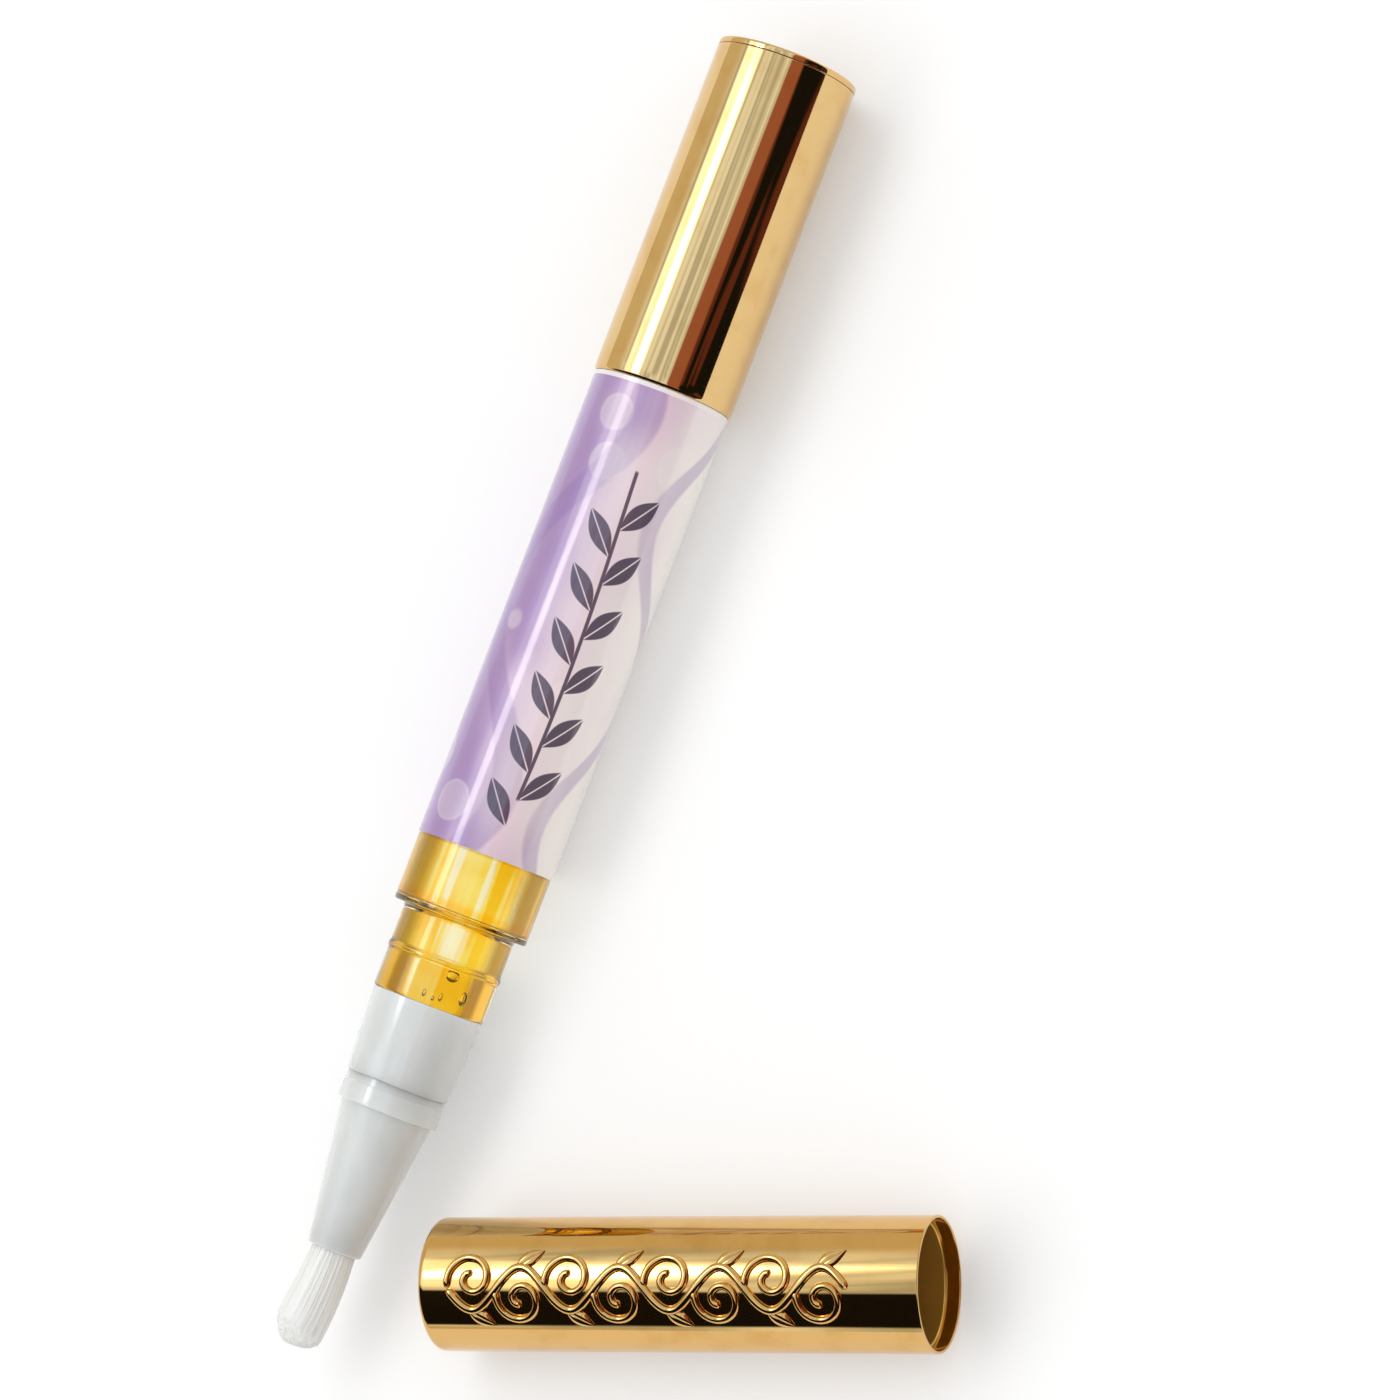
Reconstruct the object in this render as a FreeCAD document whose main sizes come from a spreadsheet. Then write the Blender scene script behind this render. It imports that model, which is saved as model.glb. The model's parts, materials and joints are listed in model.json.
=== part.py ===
import FreeCAD, Part
import math
import os
import Sketcher

# A twist-up oil pen with a brush tip, lying on its side with its cap taken off beside it.
# The pen's axis is +Y, from the brush (-Y) to the twist base (+Y), and +Z is up.
# The origin is on the axis, in the plane of the shoulder that the cap's mouth meets.
# Lengths are millimetres, angles are degrees.

SIZES = {
    # fits and cuts shared by all the pieces
    "seat_clearance": 0.03,
    "running_clearance": 0.08,
    "cut_overrun": 1.0,
    "rounding_share": 0.8,
    # clear barrel
    "barrel_bore": 9.2,
    "barrel_wall": 1.3,
    "barrel_length": 47.6,
    "shoulder_step_height": 1.0,
    "shoulder_wall": 0.45,
    "shoulder_rounding": 0.5,
    "neck_wall": 0.9,
    "neck_length": 7.4,
    "neck_bead_height": 0.12,
    "neck_bead_width": 0.7,
    "neck_bead_distance": 3.6,
    "journal_wall": 0.7,
    "journal_length": 9.0,
    "snap_bead_height": 0.2,
    "snap_bead_width": 0.8,
    "snap_bead_setback": 1.6,
    # printed label
    "label_front_gap": 6.0,
    "label_end_gap": 0.15,
    "label_thickness": 0.08,
    # front collar
    "collar_length": 7.3,
    "collar_taper": 0.45,
    "collar_rounding": 0.3,
    "collar_plug_wall": 0.77,
    "collar_plug_length": 3.8,
    # brush holder
    "holder_step_setback": 0.25,
    "holder_step_length": 0.7,
    "holder_bead_height": 0.2,
    "holder_bead_length": 1.7,
    "holder_bead_rounding": 0.15,
    "holder_cone_setback": 0.4,
    "holder_cone_length": 12.3,
    "holder_mouth_wall": 0.3,
    "holder_plug_wall": 0.87,
    "holder_plug_length": 5.0,
    "holder_web_depth": 3.4,
    "holder_web": 1.5,
    # brush
    "tuft_diameter": 3.8,
    "tuft_spread": 0.35,
    "tuft_free_length": 8.7,
    "tuft_tip_rounding": 1.8,
    "root_length": 1.5,
    "feed_tube_diameter": 1.6,
    "feed_tube_wall": 0.35,
    "feed_tube_tail": 1.0,
    "feed_tube_lead": 1.9,
    # nut and ratchet
    "nut_length": 5.0,
    "nut_depth": 12.6,
    "crown_rim": 0.37,
    "crown_inset": 0.32,
    "tooth_height": 0.8,
    "tooth_gap_share": 0.85,
    "tooth_count": 12,
    "ratchet_gap": 0.25,
    "ratchet_ring_length": 2.4,
    # piston
    "piston_gap": 1.5,
    "piston_length": 6.5,
    "piston_lip_depth": 0.77,
    "piston_lip_land": 0.6,
    "piston_lip_length": 1.7,
    "piston_face_rim": 1.77,
    "piston_dish_depth": 0.7,
    "piston_floor": 2.2,
    "piston_ring_width": 2.0,
    # lead screw
    "screw_diameter": 4.0,
    "screw_flat_depth": 0.5,
    "screw_head_diameter": 3.4,
    "screw_head_length": 1.2,
    "screw_head_ledge": 0.6,
    "screw_neck_length": 1.4,
    "screw_tail_gap": 1.0,
    # click spring
    "spring_wire": 0.5,
    "spring_turns": 5,
    # drive sleeve
    "stem_wall": 0.82,
    "stem_flat_depth": 0.5,
    "stem_tip_gap": 0.3,
    "web_gap": 0.3,
    "washer_thickness": 0.2,
    "web_thickness": 2.0,
    "sleeve_wall": 0.49,
    "sleeve_setback": 0.4,
    "skirt_wall": 0.87,
    # twist base
    "base_gap": 0.2,
    "base_wall": 0.3,
    "base_length": 30.3,
    "base_rounding": 0.15,
    "end_rim": 0.6,
    "end_rounding": 0.4,
    "end_plug_depth": 3.0,
    "end_plug_wall": 0.8,
    # cap, taken off and lying beside the pen
    "cap_length": 43.5,
    "cap_wall": 0.26,
    "cap_end_wall": 0.4,
    "cap_rounding": 0.6,
    "cap_lip_rounding": 0.12,
    "cap_fit": 0.06,
    "liner_wall": 0.3,
    "liner_end_wall": 0.8,
    "liner_setback": 1.2,
    "cap_side_distance": 10.3,
    "cap_front_distance": 28.54,
    "cap_turn": -69.6,
}

DOCUMENT = FreeCAD.newDocument("OilPen")
SHEET = DOCUMENT.addObject("Spreadsheet::Sheet", "Sizes")
for row, (alias, value) in enumerate(SIZES.items(), start=1):
    SHEET.set(f"A{row}", alias)
    SHEET.set(f"B{row}", str(value))
    SHEET.setAlias(f"B{row}", alias)
DOCUMENT.recompute()

# Stations along the pen's axis, as expressions on the sheet, from the brush to the base.
NECK_FRONT = "-Sizes.neck_length"
COLLAR_PLUG_REAR = f"{NECK_FRONT} + Sizes.collar_plug_length"
COLLAR_FRONT = f"{NECK_FRONT} - Sizes.collar_length"
HOLDER_PLUG_REAR = f"{COLLAR_FRONT} + Sizes.holder_plug_length"
HOLDER_STEP_FRONT = f"{COLLAR_FRONT} - Sizes.holder_step_length"
CONE_REAR = f"{HOLDER_STEP_FRONT} - Sizes.holder_bead_length"
CONE_FRONT = f"{CONE_REAR} - Sizes.holder_cone_length"
HOLDER_WEB_REAR = f"{CONE_REAR} - Sizes.holder_web_depth"
HOLDER_WEB_FRONT = f"{HOLDER_WEB_REAR} - Sizes.holder_web"
ROOT_REAR = f"{HOLDER_WEB_FRONT} - Sizes.seat_clearance"
ROOT_FRONT = f"{ROOT_REAR} - Sizes.root_length"
FEED_TUBE_FRONT = f"{ROOT_FRONT} - Sizes.feed_tube_lead"
TUFT_TIP = f"{CONE_FRONT} - Sizes.tuft_free_length"
JOURNAL_FRONT = "Sizes.barrel_length"
JOURNAL_REAR = f"{JOURNAL_FRONT} + Sizes.journal_length"
NUT_REAR = f"{JOURNAL_REAR} - Sizes.nut_depth"
NUT_FRONT = f"{NUT_REAR} - Sizes.nut_length"
PISTON_REAR = f"{NUT_FRONT} - Sizes.piston_gap"
PISTON_FRONT = f"{PISTON_REAR} - Sizes.piston_length"
CROWN_REAR = f"{NUT_REAR} + Sizes.tooth_height"
RATCHET_TIPS = f"{CROWN_REAR} + Sizes.ratchet_gap"
RATCHET_FRONT = f"{RATCHET_TIPS} + Sizes.tooth_height"
RATCHET_REAR = f"{RATCHET_FRONT} + Sizes.ratchet_ring_length"
WEB_FRONT = f"{JOURNAL_REAR} + Sizes.web_gap"
WEB_REAR = f"{WEB_FRONT} + Sizes.web_thickness"
STEM_FRONT = f"{NUT_REAR} + Sizes.stem_tip_gap"
BASE_FRONT = f"{JOURNAL_FRONT} + Sizes.base_gap"
BASE_REAR = f"{BASE_FRONT} + Sizes.base_length"
SHELL_REAR = f"{BASE_REAR} - Sizes.end_rim"
END_PLUG_FRONT = f"{SHELL_REAR} - Sizes.end_plug_depth"
SCREW_TAIL = f"{SHELL_REAR} - Sizes.screw_tail_gap"
HEAD_FRONT = f"{PISTON_FRONT} + Sizes.piston_floor + Sizes.running_clearance"
HEAD_REAR = f"{HEAD_FRONT} + Sizes.screw_head_length"
ROD_FRONT = f"{HEAD_REAR} + Sizes.screw_neck_length"

# Radii that more than one piece takes, each built up from the walls and clearances inside it.
BORE_RADIUS = "Sizes.barrel_bore / 2"
BARREL_RADIUS = f"{BORE_RADIUS} + Sizes.barrel_wall"
NECK_RADIUS = f"{BARREL_RADIUS} - Sizes.shoulder_step_height"
NECK_BORE_RADIUS = f"{NECK_RADIUS} - Sizes.neck_wall"
JOURNAL_RADIUS = f"{BORE_RADIUS} + Sizes.journal_wall"
SLEEVE_CUP_RADIUS = f"{JOURNAL_RADIUS} + Sizes.running_clearance"
SLEEVE_RADIUS = f"{SLEEVE_CUP_RADIUS} + Sizes.sleeve_wall"
BASE_BORE_RADIUS = f"{SLEEVE_RADIUS} + Sizes.seat_clearance"
BASE_RADIUS = f"{BASE_BORE_RADIUS} + Sizes.base_wall"
COLLAR_PLUG_RADIUS = f"{NECK_BORE_RADIUS} - Sizes.seat_clearance"
COLLAR_BORE_RADIUS = f"{COLLAR_PLUG_RADIUS} - Sizes.collar_plug_wall"
COLLAR_FRONT_RADIUS = f"{NECK_RADIUS} - Sizes.collar_taper"
SOCKET_RADIUS = "Sizes.tuft_diameter / 2 + Sizes.seat_clearance"
FEED_HOLE_RADIUS = "Sizes.feed_tube_diameter / 2 + Sizes.seat_clearance"
SCREW_RADIUS = "Sizes.screw_diameter / 2"
SCREW_HALF_FLAT = f"{SCREW_RADIUS} - Sizes.screw_flat_depth"
SCREW_HOLE_RADIUS = f"{SCREW_RADIUS} + Sizes.running_clearance"
SCREW_HEAD_RADIUS = "Sizes.screw_head_diameter / 2"
SCREW_NECK_RADIUS = f"{SCREW_HEAD_RADIUS} - Sizes.screw_head_ledge"
STEM_RADIUS = f"{SCREW_HOLE_RADIUS} + Sizes.stem_wall"
STEM_HALF_FLAT = f"{STEM_RADIUS} - Sizes.stem_flat_depth"
KEY_HOLE_RADIUS = f"{STEM_RADIUS} + Sizes.running_clearance"
PISTON_RADIUS = f"{BORE_RADIUS} - Sizes.seat_clearance"
PISTON_WAIST_RADIUS = f"{PISTON_RADIUS} - Sizes.piston_lip_depth"
NUT_RADIUS = f"{BORE_RADIUS} - Sizes.seat_clearance"
CROWN_RADIUS = f"{NUT_RADIUS} - Sizes.crown_rim"
CROWN_BORE_RADIUS = f"{KEY_HOLE_RADIUS} + Sizes.crown_inset"
LINER_BORE_RADIUS = f"{NECK_RADIUS} + Sizes.cap_fit"
LINER_RADIUS = f"{LINER_BORE_RADIUS} + Sizes.liner_wall"
CAP_BORE_RADIUS = f"{LINER_RADIUS} + Sizes.seat_clearance"
CAP_RADIUS = f"{CAP_BORE_RADIUS} + Sizes.cap_wall"

# How closely an edge's circle has to match the ring that names it.
MATCH = 1e-6

PARTS = []


def amount(expression):
    """The value of an expression on the sheet, in millimetres."""
    return float(SHEET.evalExpression(expression))


def new_body(label):
    body = DOCUMENT.addObject("PartDesign::Body", label)
    body.Label = label
    PARTS.append(body)
    return body


def origin_feature(body, role):
    return next(feature for feature in body.Origin.OriginFeatures if feature.Role == role)


def new_sketch(body, role, name, station=None):
    """A sketch on one of the body's own origin planes. On the XZ plane a station moves it along +Y."""
    sketch = body.newObject("Sketcher::SketchObject", name)
    sketch.AttachmentSupport = [(origin_feature(body, role), "")]
    sketch.MapMode = "FlatFace"
    if station is not None:
        sketch.setExpression("AttachmentOffset.Base.z", f"-({station})")
    DOCUMENT.recompute()
    return sketch


def bind(sketch, kind, geometry, point, expression):
    """Holds one coordinate of a point at an expression on the sheet, measured from the sketch's origin."""
    constraint = Sketcher.Constraint(kind, -1, 1, geometry, point, amount(expression))
    index = sketch.addConstraint(constraint)
    sketch.setExpression(f"Constraints[{index}]", expression)


def draw_outline(sketch, corners):
    """A closed outline of straight lines through corners, each a pair of expressions on the sheet."""
    places = [FreeCAD.Vector(amount(across), amount(along), 0) for across, along in corners]
    first = sketch.GeometryCount
    count = len(corners)
    for index in range(count):
        sketch.addGeometry(Part.LineSegment(places[index], places[(index + 1) % count]), False)
    for index in range(count):
        following = first + (index + 1) % count
        sketch.addConstraint(Sketcher.Constraint("Coincident", first + index, 2, following, 1))
    for index, (across, along) in enumerate(corners):
        bind(sketch, "DistanceX", first + index, 1, across)
        bind(sketch, "DistanceY", first + index, 1, along)


def draw_double_d(sketch, radius, half_flat):
    """A round outline with two opposite flats, centred on the sketch's origin."""
    round_radius = amount(radius)
    height = amount(half_flat)
    turn = math.asin(height / round_radius)
    centre = FreeCAD.Vector(0, 0, 0)
    upward = FreeCAD.Vector(0, 0, 1)
    circle = Part.Circle(centre, upward, round_radius)
    right = sketch.addGeometry(Part.ArcOfCircle(circle, -turn, turn), False)
    left = sketch.addGeometry(Part.ArcOfCircle(circle, math.pi - turn, math.pi + turn), False)
    half_width = round_radius * math.cos(turn)
    top_right = FreeCAD.Vector(half_width, height, 0)
    top_left = FreeCAD.Vector(-half_width, height, 0)
    bottom_left = FreeCAD.Vector(-half_width, -height, 0)
    bottom_right = FreeCAD.Vector(half_width, -height, 0)
    top = sketch.addGeometry(Part.LineSegment(top_right, top_left), False)
    bottom = sketch.addGeometry(Part.LineSegment(bottom_left, bottom_right), False)
    for line, start_arc, end_arc in ((top, right, left), (bottom, left, right)):
        sketch.addConstraint(Sketcher.Constraint("Coincident", start_arc, 2, line, 1))
        sketch.addConstraint(Sketcher.Constraint("Coincident", line, 2, end_arc, 1))
        sketch.addConstraint(Sketcher.Constraint("Horizontal", line))
    for arc in (right, left):
        sketch.addConstraint(Sketcher.Constraint("Coincident", arc, 3, -1, 1))
        index = sketch.addConstraint(Sketcher.Constraint("Radius", arc, round_radius))
        sketch.setExpression(f"Constraints[{index}]", radius)
    bind(sketch, "DistanceY", top, 1, half_flat)
    bind(sketch, "DistanceY", bottom, 1, f"-({half_flat})")


def revolve(body, name, corners):
    """A revolved feature about the body's Y axis, from corners of (radius, station)."""
    sketch = new_sketch(body, "XY_Plane", f"{name}Profile")
    draw_outline(sketch, corners)
    feature = body.newObject("PartDesign::Revolution", name)
    feature.Profile = sketch
    feature.ReferenceAxis = (sketch, ["V_Axis"])
    feature.Angle = 360
    DOCUMENT.recompute()
    return feature


def pocket(body, sketch, name, length):
    """Cuts a sketch's outline out of the body over a length, and makes sure that it removed something."""
    before = body.Shape.Volume
    feature = body.newObject("PartDesign::Pocket", name)
    feature.Profile = sketch
    feature.Reversed = True
    feature.setExpression("Length", length)
    DOCUMENT.recompute()
    if not body.Shape.Volume < before:
        raise RuntimeError(f"{name} cuts nothing")
    return feature


def ring_edges(feature, rings):
    """The names of the circular edges at the given (radius, station) rings of a revolved feature."""
    names = []
    for radius, station in rings:
        for index, edge in enumerate(feature.Shape.Edges, start=1):
            if not isinstance(edge.Curve, Part.Circle):
                continue
            same_radius = math.isclose(edge.Curve.Radius, amount(radius), abs_tol=MATCH)
            if same_radius and math.isclose(edge.Curve.Center.y, amount(station), abs_tol=MATCH):
                names.append(f"Edge{index}")
    return names


def round_rings(body, feature, name, rings, rounding):
    """Fillets the circular edges of a revolved feature."""
    fillet = body.newObject("PartDesign::Fillet", name)
    fillet.Base = (feature, ring_edges(feature, rings))
    fillet.setExpression("Radius", rounding)
    DOCUMENT.recompute()
    return fillet


def repeat_around(body, feature, name, count):
    """Repeats a cut evenly around the pen's axis."""
    pattern = body.newObject("PartDesign::PolarPattern", name)
    pattern.Originals = [feature]
    pattern.Axis = (origin_feature(body, "Y_Axis"), [""])
    pattern.Angle = 360
    pattern.setExpression("Occurrences", count)
    body.Tip = pattern
    DOCUMENT.recompute()
    return pattern


def tooth_gap(body, valley, tip, beyond):
    """One saw-tooth gap in a crown, cut outward along +X: upright on one side, sloped on the other."""
    sketch = new_sketch(body, "YZ_Plane", "ToothGapProfile")
    half_width = f"pi * ({CROWN_BORE_RADIUS}) / Sizes.tooth_count * Sizes.tooth_gap_share"
    lower = f"-({half_width})"
    draw_outline(sketch, [(valley, lower), (tip, half_width), (beyond, half_width), (beyond, lower)])
    cut = pocket(body, sketch, "ToothGap", f"{CROWN_RADIUS} + Sizes.cut_overrun")
    return repeat_around(body, cut, "Teeth", "Sizes.tooth_count")


def make_barrel():
    """The clear barrel: neck with a snap bead, shoulder, bore, and the journal that the base turns on."""
    body = new_body("barrel")
    half_bead = "Sizes.neck_bead_width / 2"
    bead_radius = f"{NECK_RADIUS} + Sizes.neck_bead_height"
    snap_radius = f"{JOURNAL_RADIUS} + Sizes.snap_bead_height"
    snap_rear = f"{JOURNAL_REAR} - Sizes.snap_bead_setback"
    snap_front = f"{snap_rear} - Sizes.snap_bead_width"
    tube = revolve(body, "Tube", [
        (NECK_BORE_RADIUS, NECK_FRONT),
        (NECK_RADIUS, NECK_FRONT),
        (NECK_RADIUS, f"-Sizes.neck_bead_distance - {half_bead}"),
        (bead_radius, "-Sizes.neck_bead_distance"),
        (NECK_RADIUS, f"-Sizes.neck_bead_distance + {half_bead}"),
        (NECK_RADIUS, "0"),
        (BARREL_RADIUS, "0"),
        (BARREL_RADIUS, JOURNAL_FRONT),
        (JOURNAL_RADIUS, JOURNAL_FRONT),
        (JOURNAL_RADIUS, snap_front),
        (snap_radius, f"{snap_front} + Sizes.snap_bead_width / 2"),
        (JOURNAL_RADIUS, snap_rear),
        (JOURNAL_RADIUS, JOURNAL_REAR),
        (BORE_RADIUS, JOURNAL_REAR),
        (BORE_RADIUS, "Sizes.shoulder_wall"),
        (NECK_BORE_RADIUS, "Sizes.shoulder_wall"),
    ])
    round_rings(body, tube, "ShoulderEdge", [(BARREL_RADIUS, "0")], "Sizes.shoulder_rounding")


def make_label():
    """The printed film round the barrel."""
    body = new_body("label")
    inner = f"{BARREL_RADIUS} + Sizes.seat_clearance"
    outer = f"{inner} + Sizes.label_thickness"
    rear = f"{JOURNAL_FRONT} - Sizes.label_end_gap"
    revolve(body, "Film", [
        (inner, "Sizes.label_front_gap"),
        (outer, "Sizes.label_front_gap"),
        (outer, rear),
        (inner, rear),
    ])


def make_oil_fill():
    """The oil, from the brush holder's plug through the neck to the piston's face."""
    body = new_body("oil_fill")
    front = f"{HOLDER_PLUG_REAR} + Sizes.seat_clearance"
    collar_rear = f"{COLLAR_PLUG_REAR} + Sizes.seat_clearance"
    bore_front = "Sizes.shoulder_wall + Sizes.seat_clearance"
    rear = f"{PISTON_FRONT} - Sizes.seat_clearance"
    collar_radius = f"{COLLAR_BORE_RADIUS} - Sizes.seat_clearance"
    neck_radius = f"{NECK_BORE_RADIUS} - Sizes.seat_clearance"
    bore_radius = f"{BORE_RADIUS} - Sizes.seat_clearance"
    revolve(body, "Column", [
        ("0", front),
        (collar_radius, front),
        (collar_radius, collar_rear),
        (neck_radius, collar_rear),
        (neck_radius, bore_front),
        (bore_radius, bore_front),
        (bore_radius, rear),
        ("0", rear),
    ])


def make_front_collar():
    """The tapered collar that plugs into the neck and carries the brush holder."""
    body = new_body("front_collar")
    skirt = revolve(body, "Skirt", [
        (COLLAR_BORE_RADIUS, COLLAR_FRONT),
        (COLLAR_FRONT_RADIUS, COLLAR_FRONT),
        (NECK_RADIUS, NECK_FRONT),
        (COLLAR_PLUG_RADIUS, NECK_FRONT),
        (COLLAR_PLUG_RADIUS, COLLAR_PLUG_REAR),
        (COLLAR_BORE_RADIUS, COLLAR_PLUG_REAR),
    ])
    front_edge = [(COLLAR_FRONT_RADIUS, COLLAR_FRONT)]
    round_rings(body, skirt, "FrontEdge", front_edge, "Sizes.collar_rounding")


def make_brush_holder():
    """The cone that holds the brush, with its stop bead and its plug in the collar."""
    body = new_body("brush_holder")
    step_radius = f"{COLLAR_FRONT_RADIUS} - Sizes.holder_step_setback"
    bead_radius = f"{step_radius} + Sizes.holder_bead_height"
    plug_radius = f"{COLLAR_BORE_RADIUS} - Sizes.seat_clearance"
    chamber_radius = f"{plug_radius} - Sizes.holder_plug_wall"
    cone = revolve(body, "Cone", [
        (SOCKET_RADIUS, CONE_FRONT),
        (f"{SOCKET_RADIUS} + Sizes.holder_mouth_wall", CONE_FRONT),
        (f"{bead_radius} - Sizes.holder_cone_setback", CONE_REAR),
        (bead_radius, CONE_REAR),
        (bead_radius, HOLDER_STEP_FRONT),
        (step_radius, HOLDER_STEP_FRONT),
        (step_radius, COLLAR_FRONT),
        (plug_radius, COLLAR_FRONT),
        (plug_radius, HOLDER_PLUG_REAR),
        (chamber_radius, HOLDER_PLUG_REAR),
        (chamber_radius, HOLDER_WEB_REAR),
        (FEED_HOLE_RADIUS, HOLDER_WEB_REAR),
        (FEED_HOLE_RADIUS, HOLDER_WEB_FRONT),
        (SOCKET_RADIUS, HOLDER_WEB_FRONT),
    ])
    bead_edges = [(bead_radius, CONE_REAR), (bead_radius, HOLDER_STEP_FRONT)]
    rounding = "min(Sizes.holder_bead_rounding; Sizes.holder_bead_height * Sizes.rounding_share)"
    round_rings(body, cone, "BeadEdges", bead_edges, rounding)


def make_feed_tube():
    """The fine tube that takes oil through the holder's web into the brush."""
    body = new_body("feed_tube")
    outer_radius = "Sizes.feed_tube_diameter / 2"
    bore_radius = f"{outer_radius} - Sizes.feed_tube_wall"
    rear = f"{HOLDER_WEB_REAR} + Sizes.feed_tube_tail"
    revolve(body, "Tube", [
        (bore_radius, FEED_TUBE_FRONT),
        (outer_radius, FEED_TUBE_FRONT),
        (outer_radius, rear),
        (bore_radius, rear),
    ])


def make_brush_root():
    """The fused root of the bristles, seated on the holder's web."""
    body = new_body("brush_root")
    outer_radius = "Sizes.tuft_diameter / 2"
    revolve(body, "Root", [
        (FEED_HOLE_RADIUS, ROOT_FRONT),
        (outer_radius, ROOT_FRONT),
        (outer_radius, ROOT_REAR),
        (FEED_HOLE_RADIUS, ROOT_REAR),
    ])


def make_brush_tuft():
    """The bristles as one soft tuft, spread a little past the mouth and rounded at the tip."""
    body = new_body("brush_tuft")
    outer_radius = "Sizes.tuft_diameter / 2"
    spread_radius = f"{outer_radius} + Sizes.tuft_spread"
    hole_front = f"{FEED_TUBE_FRONT} - Sizes.seat_clearance"
    tuft = revolve(body, "Tuft", [
        ("0", TUFT_TIP),
        (spread_radius, TUFT_TIP),
        (outer_radius, CONE_FRONT),
        (outer_radius, ROOT_FRONT),
        (FEED_HOLE_RADIUS, ROOT_FRONT),
        (FEED_HOLE_RADIUS, hole_front),
        ("0", hole_front),
    ])
    round_rings(body, tuft, "TipEdge", [(spread_radius, TUFT_TIP)], "Sizes.tuft_tip_rounding")


def make_piston():
    """The piston: two wiper lips, a dished face, and a socket that the screw's head turns in."""
    body = new_body("piston")
    dish_floor = f"{PISTON_FRONT} + Sizes.piston_dish_depth"
    front_land = f"{PISTON_FRONT} + Sizes.piston_lip_land"
    rear_land = f"{PISTON_REAR} - Sizes.piston_lip_land"
    socket_radius = f"{SCREW_HEAD_RADIUS} + Sizes.running_clearance"
    entry_radius = f"{SCREW_NECK_RADIUS} + Sizes.running_clearance"
    socket_front = f"{PISTON_FRONT} + Sizes.piston_floor"
    socket_rear = f"{HEAD_REAR} + Sizes.running_clearance"
    entry_rear = f"{ROD_FRONT} - Sizes.running_clearance"
    revolve(body, "Plunger", [
        ("0", dish_floor),
        (f"{PISTON_RADIUS} - Sizes.piston_face_rim", PISTON_FRONT),
        (PISTON_RADIUS, PISTON_FRONT),
        (PISTON_RADIUS, front_land),
        (PISTON_WAIST_RADIUS, f"{PISTON_FRONT} + Sizes.piston_lip_length"),
        (PISTON_WAIST_RADIUS, f"{PISTON_REAR} - Sizes.piston_lip_length"),
        (PISTON_RADIUS, rear_land),
        (PISTON_RADIUS, PISTON_REAR),
        (SCREW_HOLE_RADIUS, PISTON_REAR),
        (SCREW_HOLE_RADIUS, entry_rear),
        (entry_radius, entry_rear),
        (entry_radius, socket_rear),
        (socket_radius, socket_rear),
        (socket_radius, socket_front),
        ("0", socket_front),
    ])


def make_piston_ring():
    """The soft sealing ring in the piston's waist, between its two lips."""
    body = new_body("piston_ring")
    inner = f"{PISTON_WAIST_RADIUS} + Sizes.seat_clearance"
    front = f"{PISTON_FRONT} + (Sizes.piston_length - Sizes.piston_ring_width) / 2"
    rear = f"{front} + Sizes.piston_ring_width"
    revolve(body, "Ring", [
        (inner, front),
        (PISTON_RADIUS, front),
        (PISTON_RADIUS, rear),
        (inner, rear),
    ])


def make_lead_screw():
    """The lead screw: a rod with two driving flats, a neck, and the head that pushes the piston."""
    body = new_body("lead_screw")
    sketch = new_sketch(body, "XZ_Plane", "RodSection", SCREW_TAIL)
    draw_double_d(sketch, SCREW_RADIUS, SCREW_HALF_FLAT)
    rod = body.newObject("PartDesign::Pad", "Rod")
    rod.Profile = sketch
    rod.setExpression("Length", f"{SCREW_TAIL} - ({ROD_FRONT})")
    DOCUMENT.recompute()
    revolve(body, "Head", [
        ("0", HEAD_FRONT),
        (SCREW_HEAD_RADIUS, HEAD_FRONT),
        (SCREW_HEAD_RADIUS, HEAD_REAR),
        (SCREW_NECK_RADIUS, HEAD_REAR),
        (SCREW_NECK_RADIUS, ROD_FRONT),
        ("0", ROD_FRONT),
    ])


def make_screw_nut():
    """The fixed nut in the barrel, with a crown of ratchet teeth on its rear face."""
    body = new_body("screw_nut")
    revolve(body, "Nut", [
        (SCREW_HOLE_RADIUS, NUT_FRONT),
        (NUT_RADIUS, NUT_FRONT),
        (NUT_RADIUS, NUT_REAR),
        (CROWN_RADIUS, NUT_REAR),
        (CROWN_RADIUS, CROWN_REAR),
        (CROWN_BORE_RADIUS, CROWN_REAR),
        (CROWN_BORE_RADIUS, NUT_REAR),
        (SCREW_HOLE_RADIUS, NUT_REAR),
    ])
    tooth_gap(body, NUT_REAR, CROWN_REAR, f"{CROWN_REAR} + Sizes.cut_overrun")


def make_ratchet_ring():
    """The click ring, keyed on the drive stem, with a crown of teeth that faces the nut's."""
    body = new_body("ratchet_ring")
    revolve(body, "Ring", [
        ("0", RATCHET_FRONT),
        (CROWN_BORE_RADIUS, RATCHET_FRONT),
        (CROWN_BORE_RADIUS, RATCHET_TIPS),
        (CROWN_RADIUS, RATCHET_TIPS),
        (CROWN_RADIUS, RATCHET_REAR),
        ("0", RATCHET_REAR),
    ])
    key = new_sketch(body, "XZ_Plane", "KeySection", RATCHET_REAR)
    draw_double_d(key, KEY_HOLE_RADIUS, f"{STEM_HALF_FLAT} + Sizes.running_clearance")
    pocket(body, key, "KeyHole", f"{RATCHET_REAR} - ({RATCHET_TIPS}) + Sizes.cut_overrun")
    tooth_gap(body, RATCHET_FRONT, RATCHET_TIPS, f"{RATCHET_TIPS} - Sizes.cut_overrun")


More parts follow.
